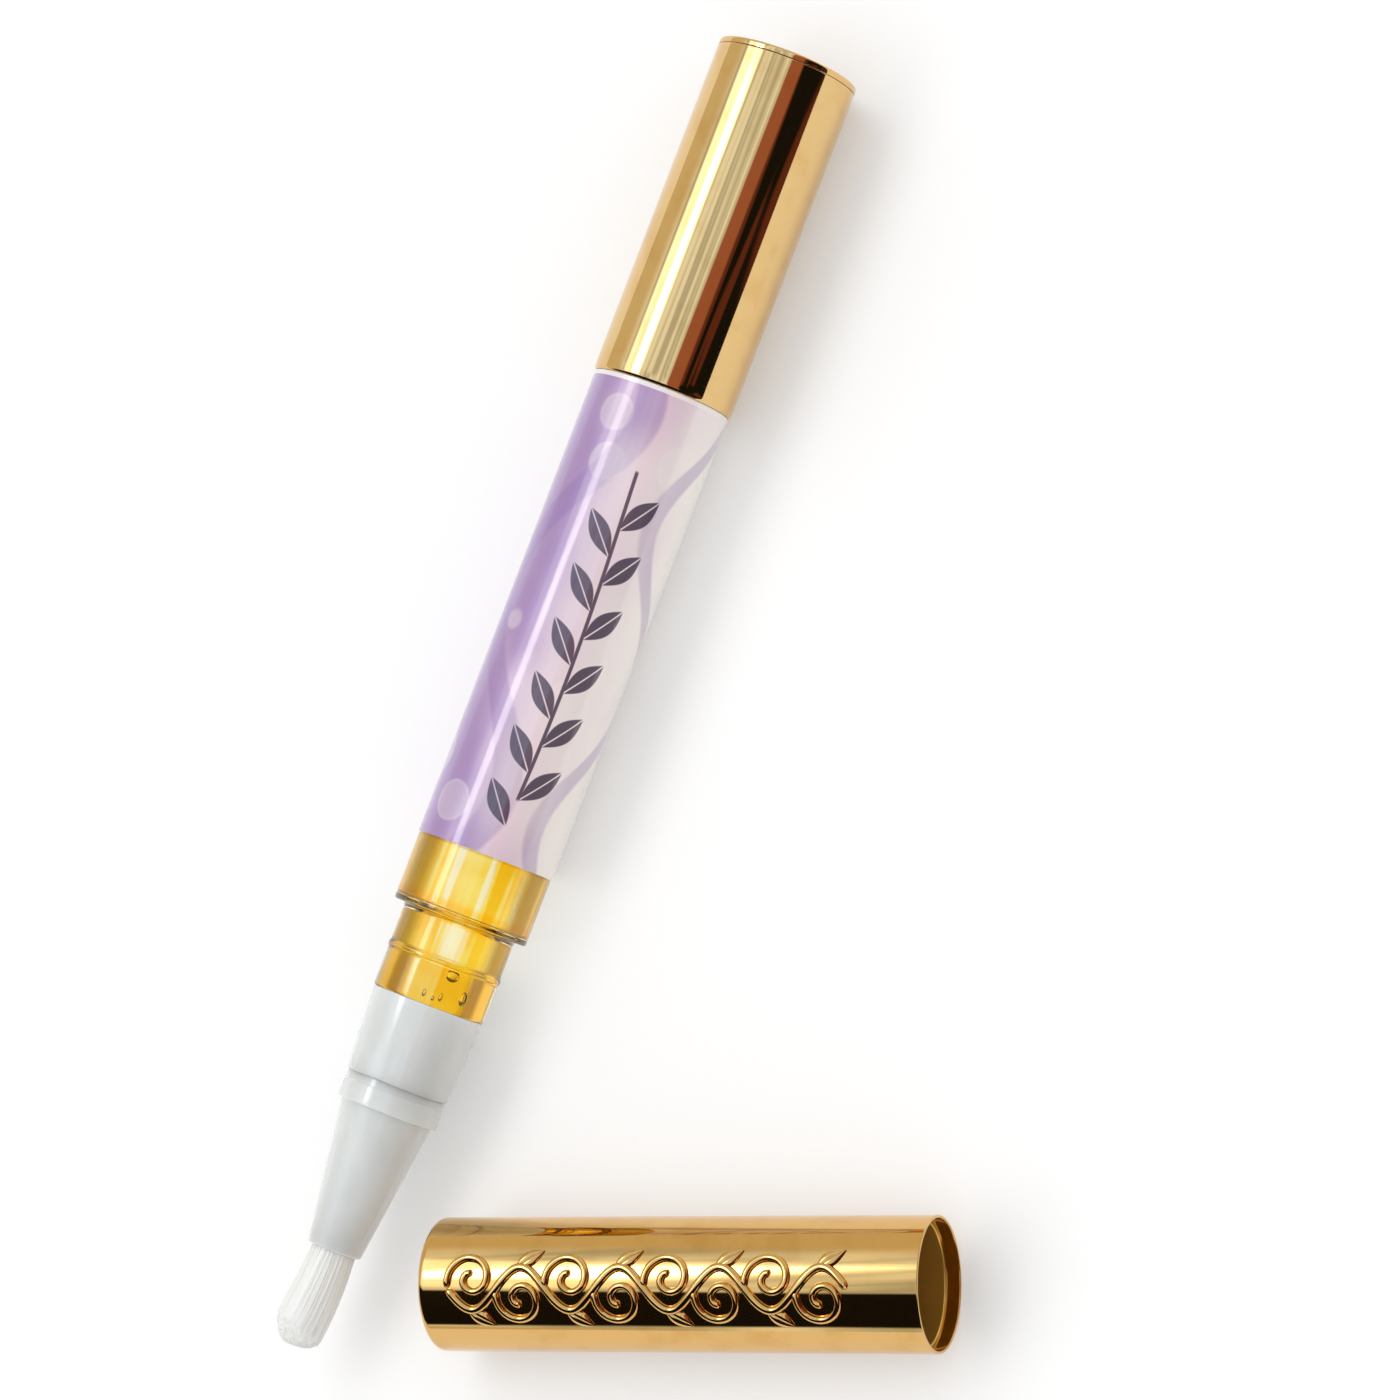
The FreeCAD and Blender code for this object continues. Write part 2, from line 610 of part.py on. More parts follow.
def make_drive_sleeve():
    """The core of the twist base: a cup on the barrel's journal, a web, a keyed stem and a rear skirt."""
    body = new_body("drive_sleeve")
    groove_radius = f"{SLEEVE_CUP_RADIUS} + Sizes.snap_bead_height"
    groove_rear = f"{JOURNAL_REAR} - Sizes.snap_bead_setback + Sizes.running_clearance"
    groove_front = f"{groove_rear} - Sizes.snap_bead_width - 2 * Sizes.running_clearance"
    cup_front = f"{BASE_FRONT} + Sizes.sleeve_setback"
    skirt_bore_radius = f"{SLEEVE_RADIUS} - Sizes.skirt_wall"
    rear = f"{END_PLUG_FRONT} - Sizes.seat_clearance"
    revolve(body, "Core", [
        ("0", STEM_FRONT),
        (STEM_RADIUS, STEM_FRONT),
        (STEM_RADIUS, WEB_FRONT),
        (SLEEVE_CUP_RADIUS, WEB_FRONT),
        (SLEEVE_CUP_RADIUS, groove_rear),
        (groove_radius, groove_rear),
        (groove_radius, groove_front),
        (SLEEVE_CUP_RADIUS, groove_front),
        (SLEEVE_CUP_RADIUS, cup_front),
        (SLEEVE_RADIUS, cup_front),
        (SLEEVE_RADIUS, rear),
        (skirt_bore_radius, rear),
        (skirt_bore_radius, WEB_REAR),
        ("0", WEB_REAR),
    ])
    outside = f"{STEM_RADIUS} + Sizes.cut_overrun"
    flats = new_sketch(body, "XZ_Plane", "StemFlats", WEB_FRONT)
    for side in ("", "-"):
        draw_outline(flats, [
            (f"-({outside})", f"{side}({STEM_HALF_FLAT})"),
            (outside, f"{side}({STEM_HALF_FLAT})"),
            (outside, f"{side}({outside})"),
            (f"-({outside})", f"{side}({outside})"),
        ])
    pocket(body, flats, "StemKey", f"{WEB_FRONT} - ({STEM_FRONT}) + Sizes.cut_overrun")
    hole = new_sketch(body, "XZ_Plane", "DriveHole", WEB_REAR)
    draw_double_d(hole, SCREW_HOLE_RADIUS, f"{SCREW_HALF_FLAT} + Sizes.running_clearance")
    pocket(body, hole, "DriveBore", f"{WEB_REAR} - ({STEM_FRONT}) + Sizes.cut_overrun")


def biarc(start, start_way, end, end_way):
    """Two arcs that leave start along start_way and reach end along end_way, meeting in line."""
    chord = end - start
    ways = start_way + end_way
    bend = 2 * (1 - start_way.dot(end_way))
    reach = (math.sqrt(chord.dot(ways) ** 2 + bend * chord.dot(chord)) - chord.dot(ways)) / bend
    start_handle = start + start_way * reach
    end_handle = end - end_way * reach
    joint = (start_handle + end_handle) / 2
    arcs = []
    for first, handle, last in ((start, start_handle, joint), (joint, end_handle, end)):
        chord_middle = (first + last) / 2
        outward = handle - chord_middle
        half_chord = (last - first).Length / 2
        half_turn = math.atan2(outward.Length, half_chord)
        rise = half_chord * math.tan(half_turn / 2)
        arcs.append(Part.Arc(first, chord_middle + outward.normalize() * rise, last).toShape())
    return arcs


def make_click_spring():
    """The coil spring between the click ring and the web of the drive sleeve."""
    wire_radius = SHEET.spring_wire / 2
    coil_radius = amount(f"({STEM_RADIUS} + {BORE_RADIUS}) / 2")
    front = amount(f"{RATCHET_REAR} + Sizes.seat_clearance") + wire_radius
    rear = amount(f"{WEB_FRONT} - Sizes.seat_clearance") - wire_radius
    quarters = round(SHEET.spring_turns * 4)
    rise = (rear - front) / quarters
    slope = rise / (math.pi / 2)

    def point(turn):
        along = front + slope * turn
        return FreeCAD.Vector(coil_radius * math.cos(turn), along, coil_radius * math.sin(turn))

    def way(turn):
        across = FreeCAD.Vector(-coil_radius * math.sin(turn), slope, coil_radius * math.cos(turn))
        return across.normalize()

    turns = [index * math.pi / 2 for index in range(quarters + 1)]
    edges = []
    for first, last in zip(turns, turns[1:]):
        edges += biarc(point(first), way(first), point(last), way(last))
    path = Part.Wire(edges)
    section = Part.Wire([Part.Circle(point(0), way(0), wire_radius).toShape()])
    spring = DOCUMENT.addObject("Part::Feature", "click_spring")
    spring.Label = "click_spring"
    spring.Shape = path.makePipeShell([section], True, False)
    spring.Placement = FreeCAD.Placement()
    PARTS.append(spring)
    print(f"click_spring: gap between turns {4 * rise - SHEET.spring_wire:.2f} mm")


def make_thrust_washer():
    """The slip washer between the end of the barrel's journal and the drive sleeve's web."""
    body = new_body("thrust_washer")
    inner = f"{BORE_RADIUS} + Sizes.seat_clearance"
    outer = f"{JOURNAL_RADIUS} - Sizes.seat_clearance"
    front = f"{JOURNAL_REAR} + (Sizes.web_gap - Sizes.washer_thickness) / 2"
    rear = f"{front} + Sizes.washer_thickness"
    revolve(body, "Washer", [
        (inner, front),
        (outer, front),
        (outer, rear),
        (inner, rear),
    ])


def make_base_shell():
    """The polished metal shell of the twist base, open at both ends."""
    body = new_body("base_shell")
    shell = revolve(body, "Shell", [
        (BASE_BORE_RADIUS, BASE_FRONT),
        (BASE_RADIUS, BASE_FRONT),
        (BASE_RADIUS, SHELL_REAR),
        (BASE_BORE_RADIUS, SHELL_REAR),
    ])
    rounding = "min(Sizes.base_rounding; Sizes.base_wall * Sizes.rounding_share)"
    round_rings(body, shell, "FrontEdge", [(BASE_RADIUS, BASE_FRONT)], rounding)


def make_base_end_plug():
    """The plug that closes the base, with a rim as wide as the shell."""
    body = new_body("base_end_plug")
    plug_radius = f"{BASE_BORE_RADIUS} - Sizes.seat_clearance"
    cup_radius = f"{plug_radius} - Sizes.end_plug_wall"
    plug = revolve(body, "Plug", [
        ("0", SHELL_REAR),
        (cup_radius, SHELL_REAR),
        (cup_radius, END_PLUG_FRONT),
        (plug_radius, END_PLUG_FRONT),
        (plug_radius, SHELL_REAR),
        (BASE_RADIUS, SHELL_REAR),
        (BASE_RADIUS, BASE_REAR),
        ("0", BASE_REAR),
    ])
    rounding = "min(Sizes.end_rounding; Sizes.end_rim * Sizes.rounding_share)"
    round_rings(body, plug, "RimEdge", [(BASE_RADIUS, BASE_REAR)], rounding)


def lay_beside_pen(body):
    """Turns a piece of the cap, modelled along +Y from its closed end, to where the cap lies."""
    body.Placement = FreeCAD.Placement(FreeCAD.Vector(), FreeCAD.Rotation(FreeCAD.Vector(0, 0, 1), 1))
    body.setExpression("Placement.Base.x", "Sizes.cap_side_distance")
    body.setExpression("Placement.Base.y", "-Sizes.cap_front_distance")
    body.setExpression("Placement.Base.z", f"{CAP_RADIUS} - ({BASE_RADIUS})")
    body.setExpression("Placement.Rotation.Angle", "Sizes.cap_turn * 1 deg")
    DOCUMENT.recompute()


def make_cap_shell():
    """The drawn metal shell of the cap, closed at one end."""
    body = new_body("cap_shell")
    shell = revolve(body, "Shell", [
        ("0", "0"),
        (CAP_RADIUS, "0"),
        (CAP_RADIUS, "Sizes.cap_length"),
        (CAP_BORE_RADIUS, "Sizes.cap_length"),
        (CAP_BORE_RADIUS, "Sizes.cap_end_wall"),
        ("0", "Sizes.cap_end_wall"),
    ])
    closed = round_rings(body, shell, "ClosedEdge", [(CAP_RADIUS, "0")], "Sizes.cap_rounding")
    lip = [(CAP_RADIUS, "Sizes.cap_length"), (CAP_BORE_RADIUS, "Sizes.cap_length")]
    half_wall = "Sizes.cap_wall / 2 * Sizes.rounding_share"
    round_rings(body, closed, "Lip", lip, f"min(Sizes.cap_lip_rounding; {half_wall})")
    lay_beside_pen(body)


def make_cap_liner():
    """The inner cap, a plain blind bore that pushes on to the neck, set back from the shell's mouth."""
    body = new_body("cap_liner")
    closed_end = "Sizes.cap_end_wall + Sizes.seat_clearance"
    floor = f"{closed_end} + Sizes.liner_end_wall"
    mouth = "Sizes.cap_length - Sizes.liner_setback"
    revolve(body, "Liner", [
        ("0", closed_end),
        (LINER_RADIUS, closed_end),
        (LINER_RADIUS, mouth),
        (LINER_BORE_RADIUS, mouth),
        (LINER_BORE_RADIUS, floor),
        ("0", floor),
    ])
    lay_beside_pen(body)


def check_document():
    """Stops the build if any object failed, or if a piece has no sound solid."""
    for item in DOCUMENT.Objects:
        if "Invalid" in item.State or "Error" in item.State:
            raise RuntimeError(f"{item.Label} failed: {item.State}")
    for part in PARTS:
        if part.Shape.isNull() or not part.Shape.isValid() or not part.Shape.Solids:
            raise RuntimeError(f"{part.Label} has no sound solid")


make_barrel()
make_label()
make_oil_fill()
make_front_collar()
make_brush_holder()
make_feed_tube()
make_brush_root()
make_brush_tuft()
make_piston()
make_piston_ring()
make_lead_screw()
make_screw_nut()
make_ratchet_ring()
make_drive_sleeve()
make_click_spring()
make_thrust_washer()
make_base_shell()
make_base_end_plug()
make_cap_shell()
make_cap_liner()
DOCUMENT.recompute()
check_document()
os.makedirs("parts", exist_ok=True)
for part in PARTS:
    part.Shape.exportStep(f"parts/{part.Label}.step")
    print(f"{part.Label}: {len(part.Shape.Solids)} solid, {part.Shape.Volume:.2f} cubic mm")
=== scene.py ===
import json
import math
import random

import bmesh
import bpy
from mathutils import Matrix, Vector


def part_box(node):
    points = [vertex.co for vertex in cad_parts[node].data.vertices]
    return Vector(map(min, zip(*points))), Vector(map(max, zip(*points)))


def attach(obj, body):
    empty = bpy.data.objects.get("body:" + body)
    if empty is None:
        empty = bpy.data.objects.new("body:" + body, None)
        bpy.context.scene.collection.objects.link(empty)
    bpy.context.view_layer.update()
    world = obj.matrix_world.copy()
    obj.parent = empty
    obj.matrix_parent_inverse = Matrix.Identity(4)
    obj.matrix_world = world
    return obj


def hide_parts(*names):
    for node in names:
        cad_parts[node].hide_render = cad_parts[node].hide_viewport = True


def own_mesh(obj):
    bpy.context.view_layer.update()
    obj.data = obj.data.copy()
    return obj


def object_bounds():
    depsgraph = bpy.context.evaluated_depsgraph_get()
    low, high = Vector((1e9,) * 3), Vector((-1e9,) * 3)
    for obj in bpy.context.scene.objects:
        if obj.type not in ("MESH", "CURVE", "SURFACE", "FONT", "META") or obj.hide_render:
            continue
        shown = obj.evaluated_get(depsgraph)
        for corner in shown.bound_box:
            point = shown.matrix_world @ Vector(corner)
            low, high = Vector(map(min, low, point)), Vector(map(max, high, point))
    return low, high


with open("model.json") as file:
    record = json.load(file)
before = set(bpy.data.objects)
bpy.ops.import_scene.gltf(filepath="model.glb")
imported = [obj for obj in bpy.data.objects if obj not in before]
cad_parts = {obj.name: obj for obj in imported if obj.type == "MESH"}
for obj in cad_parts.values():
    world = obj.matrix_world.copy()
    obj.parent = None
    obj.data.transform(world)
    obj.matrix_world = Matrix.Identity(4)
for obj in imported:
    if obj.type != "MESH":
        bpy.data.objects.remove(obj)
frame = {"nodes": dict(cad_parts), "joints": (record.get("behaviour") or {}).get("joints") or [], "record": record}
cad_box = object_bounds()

# The looks of a twist-up oil pen that lies beside its cap. Everything is in the frame of the CAD model:
# metres, the pen's axis along +Y from the brush to the base, +Z up. Lengths named here are millimetres.

MM = 0.001
ROUND_STEPS = 192
ARC_STEPS = 6
# A rounding takes up at most this share of each side that meets at its corner.
ROUND_LIMIT_SHARE = 0.45
SHARP_ANGLE = math.radians(32)
SEED = 7

# Roundings that many edges share.
SHARP = 0.0
CRISP = 0.05
FINE = 0.1
EASY = 0.15
SOFT = 0.2
FULL = 0.3

random.seed(SEED)
scene = bpy.context.scene
scene.view_settings.view_transform = "Standard"

# Stations and radii in millimetres, read from the CAD model's boxes.


def reach(node):
    """(front station, rear station, radius) of a node on the pen's axis, in millimetres."""
    low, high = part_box(node)
    return low.y / MM, high.y / MM, high.x / MM


NECK_FRONT, JOURNAL_REAR, BARREL_RADIUS = reach("barrel")
LABEL_FRONT, _, LABEL_RADIUS = reach("label")
OIL_FRONT, OIL_REAR, _ = reach("oil_fill")
COLLAR_FRONT, PLUG_REAR, COLLAR_RADIUS = reach("front_collar")
MOUTH, HOLDER_REAR, HOLDER_BEAD_RADIUS = reach("brush_holder")
TUFT_TIP, _, _ = reach("brush_tuft")
BASE_FRONT, SHELL_REAR, BASE_RADIUS = reach("base_shell")
END_PLUG_FRONT, BASE_END, END_RADIUS = reach("base_end_plug")
FLOOR = cad_box[0].z


# Meshes


def new_piece(name, vertices, faces, materials, face_materials=None):
    """A mesh object with smooth faces and sharp edges where its faces meet steeply."""
    mesh = bpy.data.meshes.new(name)
    mesh.from_pydata(vertices, [], faces)
    if face_materials:
        mesh.polygons.foreach_set("material_index", face_materials)
    for material in materials:
        mesh.materials.append(material)
    shaped = bmesh.new()
    shaped.from_mesh(mesh)
    bmesh.ops.recalc_face_normals(shaped, faces=shaped.faces)
    for face in shaped.faces:
        face.smooth = True
    for edge in shaped.edges:
        if len(edge.link_faces) == 2:
            edge.smooth = edge.calc_face_angle() < SHARP_ANGLE
    shaped.to_mesh(mesh)
    shaped.free()
    piece = bpy.data.objects.new(name, mesh)
    scene.collection.objects.link(piece)
    return piece


def settle(piece, body, nodes=(), place=None):
    """Puts a piece in place, on its body and the nodes that it stands for."""
    if place is not None:
        piece.matrix_world = place
    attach(piece, body)
    if nodes:
        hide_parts(*nodes)


def soften(corners):
    """A closed outline of (radius, station) points from corners of (radius, station, rounding)."""
    points = []
    count = len(corners)
    for index, (radius, station, rounding) in enumerate(corners):
        corner = Vector((radius, station))
        if not rounding:
            points.append(corner)
            continue
        before = Vector(corners[index - 1][:2]) - corner
        after = Vector(corners[(index + 1) % count][:2]) - corner
        limit = min(before.length, after.length) * ROUND_LIMIT_SHARE
        run = min(rounding, limit)
        start = corner + before.normalized() * run
        end = corner + after.normalized() * run
        for step in range(ARC_STEPS + 1):
            share = step / ARC_STEPS
            near = start.lerp(corner, share)
            far = corner.lerp(end, share)
            points.append(near.lerp(far, share))
    return points


def lathe(name, corners, materials, choose=None):
    """A solid of revolution about Y from a closed outline of (radius, station, rounding) corners.

    choose(radius, station) gives the index of the material of the faces at that place.
    """
    points = soften(corners)
    rings = []
    vertices = []
    for radius, station in points:
        start = len(vertices)
        count = ROUND_STEPS if radius > 0 else 1
        for index in range(count):
            turn = math.tau * index / ROUND_STEPS
            vertices.append(
                (radius * MM * math.sin(turn), station * MM, radius * MM * math.cos(turn))
            )
        rings.append([start + index % count for index in range(ROUND_STEPS)])
    faces = []
    chosen = []
    for index, ring in enumerate(rings):
        following = (index + 1) % len(rings)
        middle = (points[index] + points[following]) / 2
        for step in range(ROUND_STEPS):
            turned = (step + 1) % ROUND_STEPS
            corner_row = [ring[step], ring[turned], rings[following][turned], rings[following][step]]
            face = list(dict.fromkeys(corner_row))
            if len(face) > 2:
                faces.append(face)
                chosen.append(choose(*middle) if choose else 0)
    return new_piece(name, vertices, faces, materials, chosen)


# Shader networks


# The curve between a screen's levels and linear light.
SRGB_KNEE = 0.04045
SRGB_SLOPE = 12.92
SRGB_OFFSET = 0.055
SRGB_POWER = 2.4


def tint(red, green, blue):
    """A colour given as it looks on screen, 0 to 255, as the linear colour that a shader takes."""

    def linear(level):
        share = level / 255
        if share <= SRGB_KNEE:
            return share / SRGB_SLOPE
        return ((share + SRGB_OFFSET) / (1 + SRGB_OFFSET)) ** SRGB_POWER

    return (linear(red), linear(green), linear(blue), 1.0)


class Signal:
    """A value in a node tree that can be added, scaled and compared like a number."""

    def __init__(self, tree, socket):
        self.tree = tree
        self.socket = socket

    def math(self, operation, *others):
        node = self.tree.nodes.new("ShaderNodeMath")
        node.operation = operation
        for index, value in enumerate((self, *others)):
            if isinstance(value, Signal):
                self.tree.links.new(value.socket, node.inputs[index])
            else:
                node.inputs[index].default_value = value
        return Signal(self.tree, node.outputs[0])

    def __add__(self, other):
        return self.math("ADD", other)

    def __sub__(self, other):
        return self.math("SUBTRACT", other)

    def __mul__(self, other):
        return self.math("MULTIPLY", other)

    def __truediv__(self, other):
        return self.math("DIVIDE", other)

    def size(self):
        return self.math("ABSOLUTE")

    def wave(self):
        return self.math("SINE")

    def between(self, low, high):
        """A number from low to high, where this value goes from 0 to 1."""
        return self * (high - low) + low

    def rise(self, low, high):
        """0 below low, 1 above high, and a smooth step between them."""
        node = self.tree.nodes.new("ShaderNodeMapRange")
        node.interpolation_type = "SMOOTHSTEP"
        self.tree.links.new(self.socket, node.inputs["Value"])
        node.inputs["From Min"].default_value = low
        node.inputs["From Max"].default_value = high
        return Signal(self.tree, node.outputs["Result"])


class Network:
    """One material's or the world's node tree, with short-hands for what is used here."""

    def __init__(self, owner):
        owner.use_nodes = True
        self.owner = owner
        self.tree = owner.node_tree
        self.tree.nodes.clear()

    def node(self, kind, **settings):
        node = self.tree.nodes.new("ShaderNode" + kind)
        for name, value in settings.items():
            setattr(node, name, value)
        return node

    def put(self, value, socket):
        """Gives a socket its value: a constant as it is, a signal or another socket by a link."""
        if isinstance(value, Signal):
            value = value.socket
        if isinstance(value, bpy.types.NodeSocket):
            self.tree.links.new(value, socket)
        else:
            socket.default_value = value

    def fill(self, node, **values):
        """Sets a node's sockets by name, with _ for spaces."""
        for name, value in values.items():
            self.put(value, node.inputs[name.replace("_", " ")])
        return node

    def join(self, kind, *values):
        """The first output of a node whose inputs take these values in their order."""
        node = self.node(kind)
        for value, socket in zip(values, node.inputs):
            self.put(value, socket)
        return node.outputs[0]

    def signal(self, node, name):
        return Signal(self.tree, node.outputs[name])

    def ray(self, kind):
        """1 for one kind of light path and 0 for the others."""
        return self.signal(self.node("LightPath"), f"Is {kind} Ray")

    def split(self, vector):
        """The x, y and z of a vector."""
        node = self.node("SeparateXYZ")
        self.put(vector, node.inputs[0])
        return [Signal(self.tree, socket) for socket in node.outputs]

    def place(self):
        """The x, y and z of the shaded point in the piece's own frame, in millimetres."""
        scaled = self.fill(self.node("VectorMath", operation="SCALE"), Scale=1 / MM)
        self.put(self.node("TexCoord").outputs["Object"], scaled.inputs[0])
        return self.split(scaled.outputs[0])

    def noise(self, place, scale, detail=2.0):
        node = self.fill(self.node("TexNoise"), Vector=place, Scale=scale, Detail=detail)
        return self.signal(node, "Fac")

    def grain(self, across, along=None, detail=2.0):
        """Noise in the piece's own frame, by its cells per millimetre across and along the axis."""
        x, y, z = self.place()
        along = across if along is None else along
        return self.noise(self.join("CombineXYZ", x * across, y * along, z * across), 1.0, detail)

    def blend(self, factor, low, high):
        """A colour between two, by a factor."""
        node = self.fill(self.node("Mix", data_type="RGBA"), Factor=factor, A=low, B=high)
        return node.outputs["Result"]

    def bump(self, height, depth):
        """A bump of the given depth in millimetres."""
        node = self.fill(self.node("Bump"), Height=height, Strength=1.0, Distance=depth * MM)
        return node.outputs["Normal"]

    def shader(self, **values):
        return self.fill(self.node("BsdfPrincipled"), **values).outputs[0]

    def output(self, shader):
        """Ends a material with its shader, and gives the material."""
        self.fill(self.node("OutputMaterial"), Surface=shader)
        return self.owner

    def principled(self, **values):
        """Ends a material with one principled shader, and gives the material."""
        return self.output(self.shader(**values))


def new_material(name):
    """The network of a new material."""
    return Network(bpy.data.materials.new(name))


# How rough the gold is at its best, and what its polish lines and smears add to that.
POLISH_BLUR = 0.015
LINE_BLUR = 0.03
SMEAR_BLUR = 0.04


def make_gold(name, colour, worn_colour, wave_depth):
    """Polished plated metal: a mirror with a slow waviness, fine polish lines and faint smears."""
    net = new_material(name)
    lines = net.grain(across=9.0, along=0.35, detail=3.0)
    smears = net.grain(across=0.35, detail=4.0)
    waviness = net.grain(across=0.3, along=0.036, detail=1.0)
    return net.principled(
        Base_Color=net.blend(smears.rise(0.45, 0.75), colour, worn_colour),
        Metallic=1.0,
        Roughness=smears * SMEAR_BLUR + lines * LINE_BLUR + POLISH_BLUR,
        Normal=net.bump(waviness, wave_depth),
    )


def let_light_through(net, shader, shade):
    """Lets light from lamps and pale surfaces through, so that clear things throw a pale shadow."""
    passing = net.ray("Shadow").math("MAXIMUM", net.ray("Diffuse"))
    return net.join("MixShader", passing, shader, net.join("BsdfTransparent", shade))


# The stations between which the clear shoulder is painted with the oil's amber, a painted glow that stands for the
# oil's light seen through it, and loses it again.
AMBER_START = (-0.6, -0.1)
AMBER_END = (1.8, 1.0)


def make_clear():
    """The barrel's outside: clear moulded plastic with faint flow lines, and painted amber at the shoulder, a
    painted glow that stands for the oil's light seen through it.
    """
    net = new_material("clear_moulding")
    _, along, _ = net.place()
    flow = net.grain(across=0.8, along=0.12)
    # painted amber glow at the shoulder, standing for the oil's light seen through it
    shoulder = along.rise(*AMBER_START) * along.rise(*AMBER_END)
    shader = net.shader(
        Base_Color=net.blend(shoulder, (0.97, 0.98, 0.97, 1.0), tint(255, 232, 150)),
        Roughness=flow * 0.015,
        IOR=1.5,
        Transmission_Weight=1.0,
        Normal=net.bump(flow, depth=0.012),
    )
    return net.output(let_light_through(net, shader, (0.97, 0.97, 0.97, 1.0)))


def make_wetted():
    """The barrel's inside, which the oil wets, so that almost no edge is seen there."""
    net = new_material("wetted_wall")
    film = net.grain(across=0.6)
    colour = net.blend(film, (0.97, 0.96, 0.93, 1.0), (1.0, 0.99, 0.97, 1.0))
    return net.output(net.join("BsdfTransparent", colour))


# How far the oil turns from the eye where its colour is painted olive as painted shade, and where it is painted
# bright again as a painted bright edge.
PAINTED_SHADE_TURN = (0.1, 0.24)
PAINTED_BRIGHT_EDGE_TURN = (0.33, 0.45)


def make_oil():
    """Amber oil in the barrel. It bends light about as the plastic does, so its own edge bends it little.

    Where it turns away from the eye its colour is painted olive and then bright again: painted shade and a painted
    bright edge that stand for how a round column of oil bends light.
    """
    net = new_material("amber_oil")
    streaks = net.grain(across=0.75, along=0.0375)
    drift = net.grain(across=0.4)
    away = net.signal(net.fill(net.node("LayerWeight"), Blend=0.5), "Facing")
    colour = net.blend(drift.rise(0.35, 0.65), tint(255, 198, 34), tint(255, 216, 66))
    # pale lengthwise streaks: painted highlights in the oil's colour
    colour = net.blend(streaks.rise(0.52, 0.58), colour, tint(255, 248, 206))
    # painted shade, then a painted bright edge, by how far the surface turns from the eye
    colour = net.blend(away.rise(*PAINTED_SHADE_TURN), colour, tint(188, 146, 30))
    colour = net.blend(away.rise(*PAINTED_BRIGHT_EDGE_TURN), colour, tint(255, 214, 84))
    shader = net.shader(Base_Color=colour, Roughness=0.0, IOR=1.02, Transmission_Weight=1.0)
    return net.output(let_light_through(net, shader, (0.96, 0.94, 0.88, 1.0)))


def make_air():
    """An air bubble in the oil."""
    net = new_material("air_bubble")
    skin = net.grain(across=2.0)
    shader = net.shader(
        Base_Color=(1.0, 0.98, 0.94, 1.0), Roughness=skin * 0.02, IOR=0.7, Transmission_Weight=1.0
    )
    return net.output(let_light_through(net, shader, (0.9, 0.9, 0.9, 1.0)))


def make_frosted():
    """Frosted, slightly see-through polypropylene, with a fine spark-eroded grain."""
    net = new_material("frosted_moulding")
    grain = net.grain(across=9.0, detail=3.0)
    cloud = net.grain(across=0.45, along=0.225)
    return net.principled(
        Base_Color=net.blend(cloud, tint(209, 213, 211), tint(227, 229, 228)),
        Roughness=grain.between(0.26, 0.38),
        IOR=1.49,
        Subsurface_Weight=1.0,
        Subsurface_Radius=(1.0, 1.0, 1.0),
        Subsurface_Scale=0.0022,
        Coat_Weight=1.0,
        Coat_Roughness=0.08,
        Normal=net.bump(grain, depth=0.005),
    )


def make_wetted_plug():
    """The collar's plug inside the neck: wetted by the oil, it turns clear."""
    net = new_material("wetted_plug")
    cloud = net.grain(across=0.8)
    shader = net.shader(
        Base_Color=net.blend(cloud, tint(255, 240, 196), tint(255, 250, 226)),
        Roughness=0.04,
        IOR=1.03,
        Transmission_Weight=1.0,
    )
    return net.output(let_light_through(net, shader, (0.97, 0.97, 0.95, 1.0)))


# How far behind the holder's mouth the bristles reach their root's tone.
ROOT_TONE_DEPTH = 1.0


def make_bristle():
    """White nylon filaments, a little warmer towards the root."""
    net = new_material("nylon_filament")
    _, along, _ = net.place()
    streak = net.grain(across=6.0, along=0.4)
    rootward = along.rise(TUFT_TIP, MOUTH + ROOT_TONE_DEPTH)
    pale = net.blend(streak, tint(234, 234, 231), tint(250, 250, 248))
    return net.principled(
        Base_Color=net.blend(rootward, pale, tint(240, 240, 236)),
        Roughness=streak.between(0.3, 0.45),
        IOR=1.53,
    )


def make_moulding(name, low, high, roughness):
    """A plain moulded plastic or rubber: a little cloudy, with a faint grain."""
    net = new_material(name)
    cloud = net.grain(across=1.2, detail=3.0)
    grain = net.grain(across=8.0)
    return net.principled(
        Base_Color=net.blend(cloud, low, high),
        Roughness=grain * 0.15 + roughness,
        IOR=1.49,
        Normal=net.bump(grain, depth=0.004),
    )


def make_lining():
    """The cap's inner cup: metallised gold, with fine rings and a soft gloss."""
    net = new_material("cap_lining")
    rings = net.grain(across=0.1, along=3.0, detail=3.0)
    cloud = net.grain(across=0.4, detail=3.0)
    return net.principled(
        Base_Color=net.blend(cloud, tint(222, 184, 84), tint(238, 204, 112)),
        Metallic=0.85,
        Roughness=rings.between(0.14, 0.22),
        Normal=net.bump(rings, depth=0.004),
    )


def make_steel():
    """Drawn spring wire."""
    net = new_material("spring_wire")
    drawn = net.grain(across=5.0, detail=3.0)
    return net.principled(
        Base_Color=net.blend(drawn, tint(176, 176, 178), tint(214, 214, 216)),
        Metallic=1.0,
        Roughness=drawn.between(0.15, 0.3),
    )


# The label's print. Turns are from up towards +X, and the label faces the camera at FACING.
FACING = math.radians(26)
LAVENDER_TURN = math.radians(-52)
LAVENDER = tint(164, 132, 184)
LILAC = tint(228, 198, 216)
CREAM = tint(255, 247, 240)
VIOLET = tint(142, 106, 172)
PLUM = tint(58, 34, 70)
LILAC_RANGE = (0.05, 0.45)
CREAM_RANGE = (0.35, 0.95)
CLOUD_SHARE = 0.5
